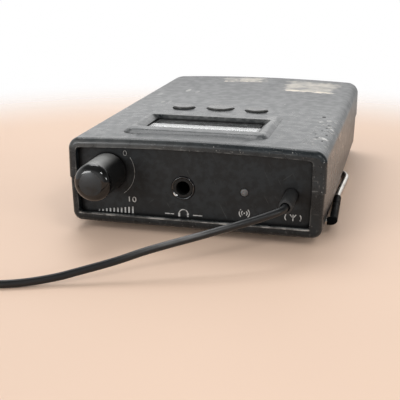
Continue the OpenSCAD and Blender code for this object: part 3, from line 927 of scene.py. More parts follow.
@dataclass(frozen=True)
class LampLens(Finish):
    """Diffused grey lens of the signal lamp."""

    name: str = "lamp_diffused"
    tone: Colour = (0.065, 0.065, 0.066)
    pale: Colour = (0.095, 0.095, 0.095)
    cloud: Cloud = Cloud(1500.0, 2.0, 0.3, 0.7)
    roughness: float = 0.42
    milk: float = 0.2
    milk_depth: float = 0.0005

    def dress(self, t: ShaderTree) -> None:
        """Feeds the shader of the tree."""
        t.set(Base_Color=t.mix(t.cloud(self.cloud), self.tone, self.pale), Roughness=self.roughness,
              Subsurface_Weight=self.milk, Subsurface_Scale=self.milk_depth)


@dataclass(frozen=True)
class ClearWindow(Finish):
    """Clear acrylic with hairline scratches, a thin haze of dust and a black printed border."""

    low: Span
    high: Span
    name: str = "window_acrylic"
    clear: Colour = (0.96, 0.97, 0.97)
    border: Colour = (0.006, 0.006, 0.006)
    soft: float = 0.00006
    dust: Cloud = Cloud(700.0, 4.0, 0.35, 0.70)
    haze: Span = (0.99, 0.92)
    hairs: Scratches = Scratches((0, 0, 33), 3000.0, 80.0, 0.71)
    roughness: Span = (0.02, 0.045)
    bend: float = 1.49
    relief: float = 0.000002
    relief_share: float = 0.06

    def dress(self, t: ShaderTree) -> None:
        """Feeds the shader.

        Args:
            t: Tree of the material.
        """
        hairs = t.scratched(self.hairs)
        inside = t.box(self.low, self.high, self.soft)
        through = t.times(inside, t.scaled(t.cloud(self.dust), *self.haze))
        t.set(Base_Color=t.mix(inside, self.border, self.clear), Roughness=t.scaled(hairs, *self.roughness),
              Normal=t.bump(hairs, self.relief, self.relief_share), IOR=self.bend,
              Transmission_Weight=through)


@dataclass(frozen=True)
class LcdCell(Finish):
    """Reflective display cell: dark border, grey-green field and a faint dot grid."""

    low: Span
    high: Span
    name: str = "lcd_field"
    field_tone: Colour = (0.125, 0.140, 0.115)
    border: Colour = (0.018, 0.020, 0.020)
    soft: float = 0.00012
    pitch: float = 0.0006
    line_from: Span = (0.06, 0.02)
    line_cover: float = 0.10
    cloud: Cloud = Cloud(150.0, 2.0, 0.3, 0.9)
    darker: float = 0.8
    roughness: float = 0.22
    coat: float = 0.4

    def dress(self, t: ShaderTree) -> None:
        """Feeds the shader.

        Args:
            t: Tree of the material.
        """
        steps = [t.math("PINGPONG", axis, self.pitch / 2) for axis in (t.x, t.y)]
        lines = t.most(*(t.rise(step, *(self.pitch * s for s in self.line_from)) for step in steps))
        tone = t.mix(t.times(lines, self.line_cover), self.field_tone, self.border)
        tone = t.mix(t.cloud(self.cloud), tone, toned(self.field_tone, self.darker))
        inside = t.box(self.low, self.high, self.soft)
        t.set(Base_Color=t.mix(inside, self.border, tone), Roughness=self.roughness, Coat_Weight=self.coat)


@dataclass(frozen=True)
class CircuitBoard(Finish):
    """Green solder mask over a maze of copper tracks."""

    name: str = "board_mask"
    mask: Colour = (0.012, 0.085, 0.035)
    track: Colour = (0.03, 0.16, 0.07)
    cells: float = 260.0
    fold: float = 0.16
    track_from: Span = (0.05, 0.09)
    roughness: float = 0.3
    relief: float = 0.00003
    relief_share: float = 0.5

    def dress(self, t: ShaderTree) -> None:
        """Feeds the shader.

        Args:
            t: Tree of the material.
        """
        feeds = {"Vector": t.place, "Scale": self.cells, "Randomness": 0.0}
        maze = t.node("ShaderNodeTexVoronoi", feeds, distance="MANHATTAN").outputs
        tracks = t.rise(t.math("PINGPONG", maze["Distance"], self.fold), *self.track_from)
        t.set(Base_Color=t.mix(tracks, self.mask, self.track), Roughness=self.roughness,
              Normal=t.bump(tracks, self.relief, self.relief_share))


@dataclass(frozen=True)
class CellJacket(Finish):
    """Shrink jacket of a cell: two plain bands and bare ends, as shares of the way from seat to nub."""

    nub: float
    seat: float
    name: str
    main: Colour = (0.020, 0.028, 0.055)
    band: Colour = (0.50, 0.30, 0.11)
    band_metal: float = 0.6
    metal: Colour = (0.72, 0.71, 0.69)
    band_from: Span = (0.715, 0.72)
    nub_from: Span = (0.962, 0.964)
    seat_to: Span = (0.012, 0.010)
    roughness: Drift = Drift(200.0, 3.0, 0.2, 0.4)

    def dress(self, t: ShaderTree) -> None:
        """Feeds the shader.

        Args:
            t: Tree of the material.
        """
        along = t.math("DIVIDE", t.math("SUBTRACT", t.y, self.seat), self.nub - self.seat)
        banded = t.rise(along, *self.band_from)
        bare = t.most(t.rise(along, *self.nub_from), t.rise(along, *self.seat_to))
        t.set(Base_Color=t.mix(bare, t.mix(banded, self.main, self.band), self.metal),
              Metallic=t.most(bare, t.times(banded, self.band_metal)), Roughness=t.drift(self.roughness))


@dataclass(frozen=True)
class WornInk(Finish):
    """Pale printing, rubbed thin in places."""

    name: str = "panel_ink"
    tone: Colour = (0.40, 0.40, 0.39)
    thin: Colour = (0.055, 0.055, 0.055)
    rub: Cloud = Cloud(900.0, 4.0, 0.52, 0.70)
    roughness: float = 0.55

    def dress(self, t: ShaderTree) -> None:
        """Feeds the shader of the tree."""
        t.set(Base_Color=t.mix(t.cloud(self.rub), self.tone, self.thin), Roughness=self.roughness)


# Mesh building


def linked(name: str, data: bpy.types.ID) -> Piece:
    """Puts an object in the scene.

    Args:
        name: Name of the object.
        data: Its mesh, lamp or camera.

    Returns:
        The object, at the origin.
    """
    made = bpy.data.objects.new(name, data)
    bpy.context.scene.collection.objects.link(made)
    return made


def piece_from(name: str, bm: Mesh, finish: Material) -> Piece:
    """Puts a mesh in the scene.

    Args:
        name: Name of the piece.
        bm: Its mesh, which is freed.
        finish: Its material.

    Returns:
        The piece.
    """
    mesh = bpy.data.meshes.new(name)
    bm.to_mesh(mesh)
    bm.free()
    mesh.materials.clear()
    mesh.materials.append(finish)
    return linked(name, mesh)


def shade(made: Piece, angle: float = CREASE) -> Piece:
    """Smooth shading with creases at sharp edges, weighted toward the large faces.

    Args:
        made: Piece to shade.
        angle: Angle of a crease in degrees.

    Returns:
        The same piece.
    """
    made.data.polygons.foreach_set("use_smooth", [True] * len(made.data.polygons))
    made.data.set_sharp_from_angle(angle=math.radians(angle))
    made.modifiers.new("weighted_normals", "WEIGHTED_NORMAL").keep_sharp = True
    return made


def closed_piece(name: str, bm: Mesh, finish: Material) -> Piece:
    """Piece from a closed mesh, with its faces turned outward and smooth."""
    bmesh.ops.recalc_face_normals(bm, faces=bm.faces)
    return shade(piece_from(name, bm, finish))


def settle(made: Piece, body: Body, slot: Slot, *nodes: str) -> Piece:
    """Seats a finished piece on its body.

    Args:
        made: The piece.
        body: Body that carries it.
        slot: Record slot of its finish; not used.
        *nodes: Frame nodes that it stands for.

    Returns:
        The same piece.
    """
    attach(made, body.value)
    if nodes:
        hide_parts(*nodes)
    LOG.info("%s: %d faces on %s", made.name, len(made.data.polygons), body.value)
    return made


def bake(made: Piece, modifier: bpy.types.Modifier) -> None:
    """Turns what a modifier makes of a piece into its plain mesh.

    Args:
        made: The piece.
        modifier: The modifier, which is removed.
    """
    depsgraph = bpy.context.evaluated_depsgraph_get()
    mesh = bpy.data.meshes.new_from_object(made.evaluated_get(depsgraph))
    made.modifiers.remove(modifier)
    old = made.data
    made.data = mesh
    mesh.name = made.name
    bpy.data.meshes.remove(old)


def full_turn(steps: int) -> list[float]:
    """Angles of one turn, in radians."""
    return [2 * math.pi * i / steps for i in range(steps)]


def arc(centre: Span, radius: float, start: float, end: float, steps: int) -> Line:
    """Points on an arc between two angles in degrees."""
    angles = [math.radians(start + (end - start) * i / steps) for i in range(steps + 1)]
    return [(centre[0] + radius * math.cos(a), centre[1] + radius * math.sin(a)) for a in angles]


def bridge(bm: Mesh, loops: Sequence[Sequence[Corner]]) -> None:
    """Faces from each loop of corners to the next.

    Args:
        bm: Mesh to add to.
        loops: Loops with the same number of corners, or a single corner for a pole.
    """
    for low, high in zip(loops, loops[1:]):
        count = max(len(low), len(high))
        for i in range(count):
            j = (i + 1) % count
            corners = (low[i % len(low)], low[j % len(low)], high[j % len(high)], high[i % len(high)])
            unique = list(dict.fromkeys(corners))
            if len(unique) > 2:
                bm.faces.new(unique)


def lathe(profile: Line, centre: Vector, segments: int) -> Mesh:
    """Turned shape about an axis along -Y.

    Args:
        profile: Radius and distance forward of each point, in millimetres.
        centre: Point of the axis from which the distances run.
        segments: Steps round the axis.

    Returns:
        The mesh.
    """
    bm = bmesh.new()
    loops: list[list[Corner]] = []
    for radius, forward in profile:
        y = centre.y - forward * MM
        reach = radius * MM
        angles = full_turn(segments) if radius else [0.0]
        loops.append([bm.verts.new((centre.x + reach * math.cos(a), y, centre.z + reach * math.sin(a)))
                      for a in angles])
    bridge(bm, loops)
    bmesh.ops.remove_doubles(bm, verts=bm.verts, dist=MERGE_DISTANCE)
    return bm


def axis_of(node: str) -> tuple[Vector, float, float]:
    """Axis of a turned node that points along -Y.

    Args:
        node: Name of the node.

    Returns:
        Middle of its back end, and its radius and length in millimetres.
    """
    low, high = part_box(node)
    back = Vector(((low.x + high.x) / 2, high.y, (low.z + high.z) / 2))
    return back, (high.x - low.x) / 2 / MM, (high.y - low.y) / MM


class FrameCopies:
    """Finished nodes of the frame, as cleaned copies with eased edges or as they are."""

    def __init__(self, nodes: dict[str, Piece]) -> None:
        """Keeps the frame's nodes by name."""
        self.nodes = nodes

    def dress(self, node: str, finish: Material, slot: Slot, edge: float = 0.0, body: Body = Body.CASE,
              angle: float = CREASE) -> None:
        """Puts a copy with merged corners and eased edges in the place of a node.

        Args:
            node: Name of the node.
            finish: Material of the copy.
            slot: Record slot of its finish.
            edge: Width of the eased edges in millimetres.
            body: Body that carries it.
            angle: Angle over which an edge is sharp, in degrees.
        """
        bm = bmesh.new()
        bm.from_mesh(self.nodes[node].data)
        bmesh.ops.remove_doubles(bm, verts=bm.verts, dist=MERGE_DISTANCE)
        bmesh.ops.dissolve_limit(bm, angle_limit=FLAT_ANGLE, verts=bm.verts, edges=bm.edges)
        if edge:
            sharp = [e for e in bm.edges if e.is_manifold and e.calc_face_angle() > math.radians(angle)]
            bmesh.ops.bevel(bm, geom=sharp, offset=edge * MM, segments=EDGE_SEGMENTS,
                            profile=EDGE_PROFILE, affect="EDGES", clamp_overlap=True)
        settle(shade(piece_from(f"{node}_skin", bm, finish), angle), body, slot, node)

    def paint(self, node: str, finish: Material) -> None:
        """Gives a node that stays a finish of its own.

        Args:
            node: Name of the node.
            finish: Its material.
        """
        mesh = self.nodes[node].data
        mesh.materials.clear()
        mesh.materials.append(finish)
        LOG.info("%s: kept, %s", node, finish.name)


class NodeTool:
    """Geometry node trees that make what repeats or follows a path."""

    def __init__(self) -> None:
        """Builds the two trees."""
        self.tube = self.tube_tree()
        self.row = self.row_tree()

    @staticmethod
    def start(name: str, inputs: dict[str, str]) -> tuple[Wiring, bpy.types.NodeOutputs]:
        """Empty tree with a geometry in and out and named inputs.

        Args:
            name: Name of the tree.
            inputs: Socket type of each input by its name.

        Returns:
            The tree and the sockets that give its inputs.
        """
        group = bpy.data.node_groups.new(name, "GeometryNodeTree")
        group.interface.new_socket("Geometry", in_out="OUTPUT", socket_type="NodeSocketGeometry")
        for label, kind in ({"Geometry": "Geometry"} | inputs).items():
            group.interface.new_socket(label, in_out="INPUT", socket_type=f"NodeSocket{kind}")
        wiring = Wiring(group)
        return wiring, wiring.node("NodeGroupInput").outputs

    @staticmethod
    def close(wiring: Wiring, made: Socket, finish: Socket) -> bpy.types.NodeTree:
        """Ends a tree with real geometry and its material.

        Args:
            wiring: The tree.
            made: Its geometry.
            finish: Material input.

        Returns:
            The finished tree.
        """
        real = wiring.node("GeometryNodeRealizeInstances", {"Geometry": made}).outputs[0]
        dressed = wiring.node("GeometryNodeSetMaterial", {"Geometry": real, "Material": finish})
        wiring.node("NodeGroupOutput", {0: dressed.outputs[0]})
        return wiring.tree

    def tube_tree(self) -> bpy.types.NodeTree:
        """Tree that sweeps a round section along a line of edges.

        Returns:
            The tree.
        """
        wiring, given = self.start("round_wire", {"Radius": "Float", "Sides": "Int", "Finish": "Material"})
        curve = wiring.node("GeometryNodeMeshToCurve", {"Mesh": given["Geometry"]}).outputs[0]
        feeds = {"Resolution": given["Sides"], "Radius": given["Radius"]}
        section = wiring.node("GeometryNodeCurvePrimitiveCircle", feeds).outputs[0]
        width = wiring.node("GeometryNodeInputNamedAttribute", {"Name": "width"}, data_type="FLOAT")
        feeds = {"Curve": curve, "Profile Curve": section, "Scale": width.outputs["Attribute"],
                 "Fill Caps": True}
        swept = wiring.node("GeometryNodeCurveToMesh", feeds).outputs[0]
        smooth = wiring.node("GeometryNodeSetShadeSmooth", {"Geometry": swept}).outputs[0]
        return self.close(wiring, smooth, given["Finish"])

    def row_tree(self) -> bpy.types.NodeTree:
        """Tree that sets copies of one shape on points, each turned by the point's own turn.

        Returns:
            The tree.
        """
        wiring, given = self.start("repeated_shape", {"Shape": "Object", "Finish": "Material"})
        points = wiring.node("GeometryNodeMeshToPoints", {"Mesh": given["Geometry"]}).outputs[0]
        shape = wiring.node("GeometryNodeObjectInfo", {"Object": given["Shape"]}).outputs["Geometry"]
        turn = wiring.node("GeometryNodeInputNamedAttribute", {"Name": "turn"}, data_type="FLOAT_VECTOR")
        feeds = {"Points": points, "Instance": shape, "Rotation": turn.outputs["Attribute"]}
        rows = wiring.node("GeometryNodeInstanceOnPoints", feeds).outputs[0]
        return self.close(wiring, rows, given["Finish"])

    @staticmethod
    def run(made: Piece, tree: bpy.types.NodeTree, values: dict[str, object]) -> None:
        """Runs a tree on a piece and keeps the result as its plain mesh.

        Args:
            made: The piece.
            tree: The tree.
            values: Values by input name.
        """
        modifier = made.modifiers.new(tree.name, "NODES")
        modifier.node_group = tree
        for item in tree.interface.items_tree:
            if item.in_out == "INPUT" and item.name in values:
                modifier[item.identifier] = values[item.name]
        bake(made, modifier)

    def wire(self, name: str, path: Sequence[Vector], radius: float, sides: int, finish: Material,
             widths: Sequence[float]) -> Piece:
        """Round wire along a path.

        Args:
            name: Name of the piece.
            path: Points of its middle line.
            radius: Its radius in metres.
            sides: Steps round it.
            finish: Its material.
            widths: Share of the radius at each point.

        Returns:
            The piece.
        """
        mesh = bpy.data.meshes.new(name)
        mesh.from_pydata([tuple(p) for p in path], [(i, i + 1) for i in range(len(path) - 1)], [])
        mesh.attributes.new("width", "FLOAT", "POINT").data.foreach_set("value", list(widths))
        made = linked(name, mesh)
        self.run(made, self.tube, {"Radius": radius, "Sides": sides, "Finish": finish})
        return made

    def repeat(self, name: str, shape: Piece, places: Sequence[Vector], turns: Sequence[Vector],
               finish: Material) -> Piece:
        """Copies of one shape as a single piece.

        Args:
            name: Name of the piece.
            shape: Shape about the origin, which is removed.
            places: Place of each copy.
            turns: Turn of each copy about the axes in radians.
            finish: Material of the copies.

        Returns:
            The piece.
        """
        mesh = bpy.data.meshes.new(name)
        mesh.from_pydata([tuple(p) for p in places], [], [])
        flat = [angle for turn in turns for angle in turn]
        mesh.attributes.new("turn", "FLOAT_VECTOR", "POINT").data.foreach_set("vector", flat)
        made = linked(name, mesh)
        self.run(made, self.row, {"Shape": shape, "Finish": finish})
        bpy.data.objects.remove(shape)
        return made


def smooth_path(route: Sequence[Vector], steps: int) -> list[Vector]:
    """Smooth line through every point of a route.

    Args:
        route: Points to pass.
        steps: Spans between two of them.

    Returns:
        Points of the line.
    """
    last = len(route) - 1
    path: list[Vector] = []
    for i in range(last):
        a, b, c, d = (route[max(i - 1, 0)], route[i], route[i + 1], route[min(i + 2, last)])
        for k in range(steps):
            t = k / steps
            path.append(0.5 * (2 * b + (c - a) * t + (2 * a - 5 * b + 4 * c - d) * t * t
                               + (3 * b - a - 3 * c + d) * t ** 3))
    path.append(route[last].copy())
    return path


def eased_path(corners: Sequence[Vector], starts: Sequence[float], steps: int) -> list[Vector]:
    """Polyline with each inner corner bent to an arc.

    Args:
        corners: Points of the polyline.
        starts: Distance before each corner at which its arc starts.
        steps: Spans of each arc.

    Returns:
        Points of the bent line.
    """
    path = [corners[0]]
    for before, corner, after, start in zip(corners, corners[1:], corners[2:], starts[1:]):
        arrive = (corner - before).normalized()
        leave = (after - corner).normalized()
        bend = arrive.angle(leave)
        radius = start / math.tan(bend / 2)
        centre = corner + (leave - arrive).normalized() * radius / math.cos(bend / 2)
        arm = corner - arrive * start - centre
        for k in range(steps + 1):
            a = bend * k / steps
            path.append(centre + arm * math.cos(a) + arrive * radius * math.sin(a))
    path.append(corners[-1])
    return path


# Sub-assemblies


@dataclass
class CaseShells:
    """Upper and lower shell, control panel and battery door."""

    case: Case
    copies: FrameCopies
    edge: float = 0.18
    height: float = 22.0
    rim_foot: float = 2.3
    rim_ends: Span = (-30.4, 29.3)
    patches_mm: tuple[tuple[Wear, float, float, float, float, float], ...] = (
        (Wear.GLUE, 10.7, 77.5, 26.2, 96.0, 0.40),
        (Wear.GLUE, -7.0, 91.0, 1.0, 100.0, 0.42),
        (Wear.GLUE, -12.5, 90.0, -8.0, 99.0, 0.50),
        (Wear.DAB, -20.7, 68.5, -18.9, 74.5, 0.42),
        (Wear.DAB, -23.1, 48.9, -21.7, 52.7, 0.30),
        (Wear.DAB, -20.9, 49.6, -19.7, 53.0, 0.20),
        (Wear.DAB, -16.8, 66.0, -15.2, 71.2, 0.20),
        (Wear.DAB, -28.3, 62.0, -26.3, 66.4, 0.18),
        (Wear.PIT, 27.0, 39.4, 28.4, 41.6, 0.95),
        (Wear.PIT, 29.5, 29.9, 31.0, 31.0, 0.6),
        (Wear.PIT, 28.2, 14.0, 29.2, 15.4, 0.8),
        (Wear.PIT, 30.3, 18.0, 31.2, 19.6, 0.7),
        (Wear.PIT, 28.7, 22.5, 29.4, 24.3, 0.6),
        (Wear.PIT, 29.6, 26.0, 30.3, 27.6, 0.8),
        (Wear.PIT, 27.6, 18.4, 28.2, 19.4, 0.8),
        (Wear.PIT, 30.0, 11.2, 30.7, 12.6, 0.8),
        (Wear.BLISTER, 27.4, 8.0, 32.6, 36.0, 0.51),
        (Wear.RUB, 13.2, 11.5, 15.9, 33.0, 0.55),
        (Wear.RUB, -19.7, 12.0, -17.0, 31.0, 0.30),
        (Wear.RUB, -15.4, 27.2, 15.0, 28.6, 0.34),
    )

    def build(self) -> None:
        """Builds the four pieces with their finishes."""
        at = self.case.at
        front = self.case.front
        top = at(0, 0, self.height).z
        left, right = (at(x, 0, self.rim_foot) for x in self.rim_ends)
        patches = tuple(Patch(wear, tuple(at(x0, y0, 0).xy), tuple(at(x1, y1, 0).xy), cover)
                        for wear, x0, y0, x1, y1, cover in self.patches_mm)
        # The upper shell carries the painted sheen on its rim.
        upper = CasePlastic("case_satin_upper", end_wear_and_sheen=EndWearAndSheen(front, top),
                            top_wear=TopWear(top, patches)).make()
        # The lower shell carries the painted highlight along the recess ledge.
        lower = CasePlastic("case_satin_lower", tone=(0.0060, 0.0082, 0.0096), specular=0.25,
                            fleck_share=0.05, end_wear_and_sheen=EndWearAndSheen(front, tone=(0.15, 0.15, 0.145)),
                            ledge_highlight=LedgeHighlight(left.x, right.x, left.y, left.z)).make()
        self.copies.dress("front_shell", upper, Slot.CASE, self.edge)
        self.copies.dress("rear_shell", lower, Slot.CASE, self.edge)
        self.copies.dress("battery_door", lower, Slot.CASE, self.edge, Body.DOOR)
        self.copies.dress("end_panel", PanelPlastic().make(), Slot.PANEL, self.edge)


@dataclass
class VolumeKnob:
    """Turned knob on its shaft."""

    flat: float = 0.64
    dome: float = 0.28
    lip: float = 0.25
    bore_r: float = 2.05
    skirt_r: float = 3.3
    skirt_depth: float = 2.2
    roof: float = 2.0
    lip_steps: int = 5
    side_steps: int = 6
    edge_steps: int = 14
    dome_steps: int = 8
    segments: int = 128

    def build(self) -> None:
        """Builds the knob: bore, skirt, lip, side, rounded edge and domed end."""
        back, radius, reach = axis_of("volume_knob")
        face = reach - self.dome
        flat_r = radius * self.flat
        slope = math.atan(2 * self.dome / flat_r)
        edge_r = (radius - flat_r) / (1 - math.sin(slope))
        shoulder = face - edge_r * math.cos(slope)
        profile = [(0.0, reach - self.roof), (self.bore_r, reach - self.roof),
                   (self.bore_r, self.skirt_depth), (self.skirt_r, self.skirt_depth), (self.skirt_r, 0.0)]
        profile += arc((radius - self.lip, self.lip), self.lip, -90, 0, self.lip_steps)
        profile += [(radius, shoulder * k / self.side_steps) for k in range(1, self.side_steps)]
        profile += arc((radius - edge_r, shoulder), edge_r, 0, 90 - math.degrees(slope), self.edge_steps)
        shares = [k / self.dome_steps for k in reversed(range(self.dome_steps))]
        profile += [(flat_r * share, face + self.dome * (1 - share ** 2)) for share in shares]
        finish = KnobPlastic(end=back.y - reach * MM, middle=(back.x, back.z), radius=radius * MM).make()
        made = closed_piece("volume_knob_turned", lathe(profile, back, self.segments), finish)
        settle(made, Body.KNOB, Slot.GLOSS, "volume_knob")


@dataclass
class PanelSockets:
    """Ring and nose of the headphone socket, and the signal lamp."""

    copies: FrameCopies
    jack_edge: float = 0.12
    lamp_edge: float = 0.08
    ring_wall: float = 0.48
    ring_edge: float = 0.18
    ring_dip: float = 0.04
    # Turn and inset of the painted glint on the ring.
    glint_turn: float = 219.0
    glint_in: float = 0.5
    edge_steps: int = 5
    segments: int = 96

    def build(self) -> None:
        """Builds the pieces."""
        black = SmoothPolymer("socket_black", tone=(0.006, 0.006, 0.006), roughness=(0.35, 0.5),
                              specular=0.2).make()
        self.copies.dress("phones_jack", black, Slot.BLACK, self.jack_edge)
        self.ring()
        self.copies.dress("rf_led", LampLens().make(), Slot.LAMP, self.lamp_edge)

    def ring(self) -> None:
        """Plated ring round the nose of the socket."""
        back, outer, depth = axis_of("jack_ring")
        inner = outer - self.ring_wall
        edge = self.ring_edge
        profile = [(inner, 0.0), (outer, 0.0)]
        profile += arc((outer - edge, depth - edge), edge, 0, 90, self.edge_steps)
        profile += [(inner + edge, depth - self.ring_dip), (inner, depth - edge), (inner, 0.0)]
        # Place of the painted glint, at the lower left of the inner lip.
        turn = math.radians(self.glint_turn)
        glint_reach = (outer - self.glint_in) * MM
        rub = (back.x + glint_reach * math.cos(turn), back.z + glint_reach * math.sin(turn))
        finish = RingPlate("ring_nickel", tone=(0.060, 0.062, 0.065), dull=(0.02, 0.02, 0.02),
                           roughness=(0.10, 0.22), lines=(2000.0, 2000.0), rub=rub).make()
        made = closed_piece("jack_ring_turned", lathe(profile, back, self.segments), finish)
        settle(made, Body.CASE, Slot.NICKEL, "jack_ring")


@dataclass
class Antenna:
    """Boot in the panel and the limp wire that hangs out of it."""

    case: Case
    tool: NodeTool
    boot_r: float = 1.65
    boot_edge: float = 0.4
    root_r: float = 1.4
    collar_r: float = 2.7
    collar_ends: Span = (0.8, 2.0)
    bore_r: float = 1.1
    bore_depth: float = 5.0
    bore_edge: float = 0.12
    boot_steps: int = 5
    edge_steps: int = 6
    bore_steps: int = 3
    boot_segments: int = 72
    radius: float = 0.9
    sides: int = 20
    steps: int = 10
    tip_steps: int = 5
    tip_width: float = 0.02
    # Stretch of the wire, across in millimetres, that carries the painted sheen.
    sheen_stretch_mm: Span = (-11.0, 18.0)
    route_mm: tuple[Point, ...] = (
        (24.4, -3.0, 10.3), (24.4, -5.0, 10.3), (24.4, -7.4, 10.3), (23.9, -9.7, 10.1),
        (21.6, -11.9, 9.5), (17.1, -14.9, 8.4), (8.2, -20.4, 6.5), (-2.9, -26.6, 4.1), (-9.7, -30.4, 2.2),
        (-16.7, -34.1, 0.6), (-22.0, -36.7, -0.5), (-28.4, -39.8, -1.1), (-35.0, -42.0, -1.2),
        (-43.0, -42.6, -1.2), (-50.6, -39.6, -1.2), (-55.6, -33.0, -1.2), (-57.6, -25.0, -1.2),
    )

    def build(self) -> None:
        """Builds the boot and the wire."""
        self.boot()
        self.wire()

    def boot(self) -> None:
        """Rubber boot with its bore and the collar behind the panel."""
        back, _, reach = axis_of("antenna_boot")
        root, neck = self.collar_ends
        edge = self.boot_edge
        profile = [(0.0, 0.0), (self.root_r, 0.0), (self.root_r, root), (self.collar_r, root),
                   (self.collar_r, neck)]
        profile += [(self.boot_r, neck + (reach - neck - edge) * k / self.boot_steps)
                    for k in range(self.boot_steps)]
        profile += arc((self.boot_r - edge, reach - edge), edge, 0, 90, self.edge_steps)
        rim = self.bore_edge
        profile += arc((self.bore_r + rim, reach - rim), rim, 90, 180, self.bore_steps)
        profile += [(self.bore_r, reach - self.bore_depth), (0.0, reach - self.bore_depth)]
        finish = SmoothPolymer("boot_rubber", tone=(0.022, 0.022, 0.022), roughness=(0.5, 0.65),
                               grain=2200.0, relief=0.00004, mark_share=0.02, specular=0.3).make()
        made = closed_piece("antenna_boot_turned", lathe(profile, back, self.boot_segments), finish)
        settle(made, Body.CASE, Slot.RUBBER, "antenna_boot")

    def wire(self) -> None:
        """Jacketed wire along its route, with a rounded free end."""
        radius = self.radius * MM
        path = smooth_path([self.case.at(*p) for p in self.route_mm], self.steps)
        tip = path[-1]
        heading = (tip - path[-2]).normalized()
        widths = [1.0] * len(path)
        path[-1] = tip - heading * radius
        for k in range(1, self.tip_steps + 1):
            a = math.radians(90 * k / self.tip_steps)
            path.append(tip - heading * radius * (1 - math.sin(a)))
            widths.append(max(math.cos(a), self.tip_width))
        finish = WireJacket("wire_jacket", tone=(0.0055, 0.0060, 0.0065), roughness=(0.34, 0.44),
                            grain=1800.0, mark=(0.16, 0.16, 0.155), mark_share=0.015, mark_size=0.2,
                            specular=0.36, stretch=tuple(x * MM for x in self.sheen_stretch_mm)).make()
        made = self.tool.wire("antenna_wire_jacket", path, radius, self.sides, finish, widths)
        settle(made, Body.CASE, Slot.CORD, "antenna_wire")


@dataclass
class KeyRow:
    """Three oval keys in the top face."""

    round_r: float = 0.42
    dish: float = 0.07
    dish_step: float = 0.5
    dish_bend: float = 0.7
    flange: float = 0.8
    flange_t: float = 0.7
    edge_steps: int = 6
    dish_steps: int = 3
    segments: int = 96

    def build(self) -> None:
        """Builds the three keys."""
        # The keys take a lighter painted shade in their inner corners.
        finish = CasePlastic("key_satin", tone=(0.050, 0.050, 0.048), corner_shade=(0.022, 0.022, 0.021),
                             fleck_share=0.02).make()
        for side in ("left", "middle", "right"):
            node = f"button_{side}"
            made = closed_piece(f"{node}_cap", self.key(node), finish)
            settle(made, Body(f"key_{side}"), Slot.KEY, node)

    def key(self, node: str) -> Mesh:
        """One key: flange, wall, rounded edge and a shallow dish.

        Args:
            node: Frame node that gives its size.

        Returns:
            The mesh.
        """
        low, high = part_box(node)
        middle = (low + high) / 2
        half = (high - low) / 2 / MM
        wall, edge = self.flange, self.round_r
        shoulder = (high.z - low.z) / MM - edge
        rings = [(0.0, 0.0), (0.0, self.flange_t), (wall, self.flange_t)]
        rings += arc((wall + edge, shoulder), edge, 180, 90, self.edge_steps)
        for k in range(1, self.dish_steps + 1):
            sunk = self.dish * (k / self.dish_steps) ** self.dish_bend
            rings.append((wall + edge + self.dish_step * k, shoulder + edge - sunk))
        bm = bmesh.new()
        loops = [[bm.verts.new((middle.x + (half.x - inset) * MM * math.cos(a),
                                middle.y + (half.y - inset) * MM * math.sin(a), low.z + z * MM))
                  for a in full_turn(self.segments)] for inset, z in rings]
        bridge(bm, loops)
        bm.faces.new(loops[0][::-1])
        bm.faces.new(loops[-1])
        return bm


@dataclass
class Display:
    """Window over the display cell and its holder."""

    copies: FrameCopies
    printed: float = 0.8
    border: float = 1.6
    window_edge: float = 0.03
    cell_edge: float = 0.06
    holder_edge: float = 0.1

    def build(self) -> None:
        """Builds the window and dresses what lies under it."""
        clear = ClearWindow(*self.within(self.printed)).make()
        cell = LcdCell(*self.within(self.border)).make()
        white = SmoothPolymer("holder_white", tone=(0.62, 0.61, 0.58), roughness=(0.4, 0.5)).make()
        self.copies.dress("lcd_window", clear, Slot.WINDOW, self.window_edge)
        self.copies.dress("lcd_glass", cell, Slot.LCD, self.cell_edge)
        self.copies.dress("lcd_holder", white, Slot.WHITE, self.holder_edge)

    @staticmethod
    def within(inset: float) -> tuple[Span, Span]:
        """Lowest and highest x and y of the window, drawn in by so many millimetres."""
        low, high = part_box("lcd_window")
        return (low.x + inset * MM, low.y + inset * MM), (high.x - inset * MM, high.y - inset * MM)


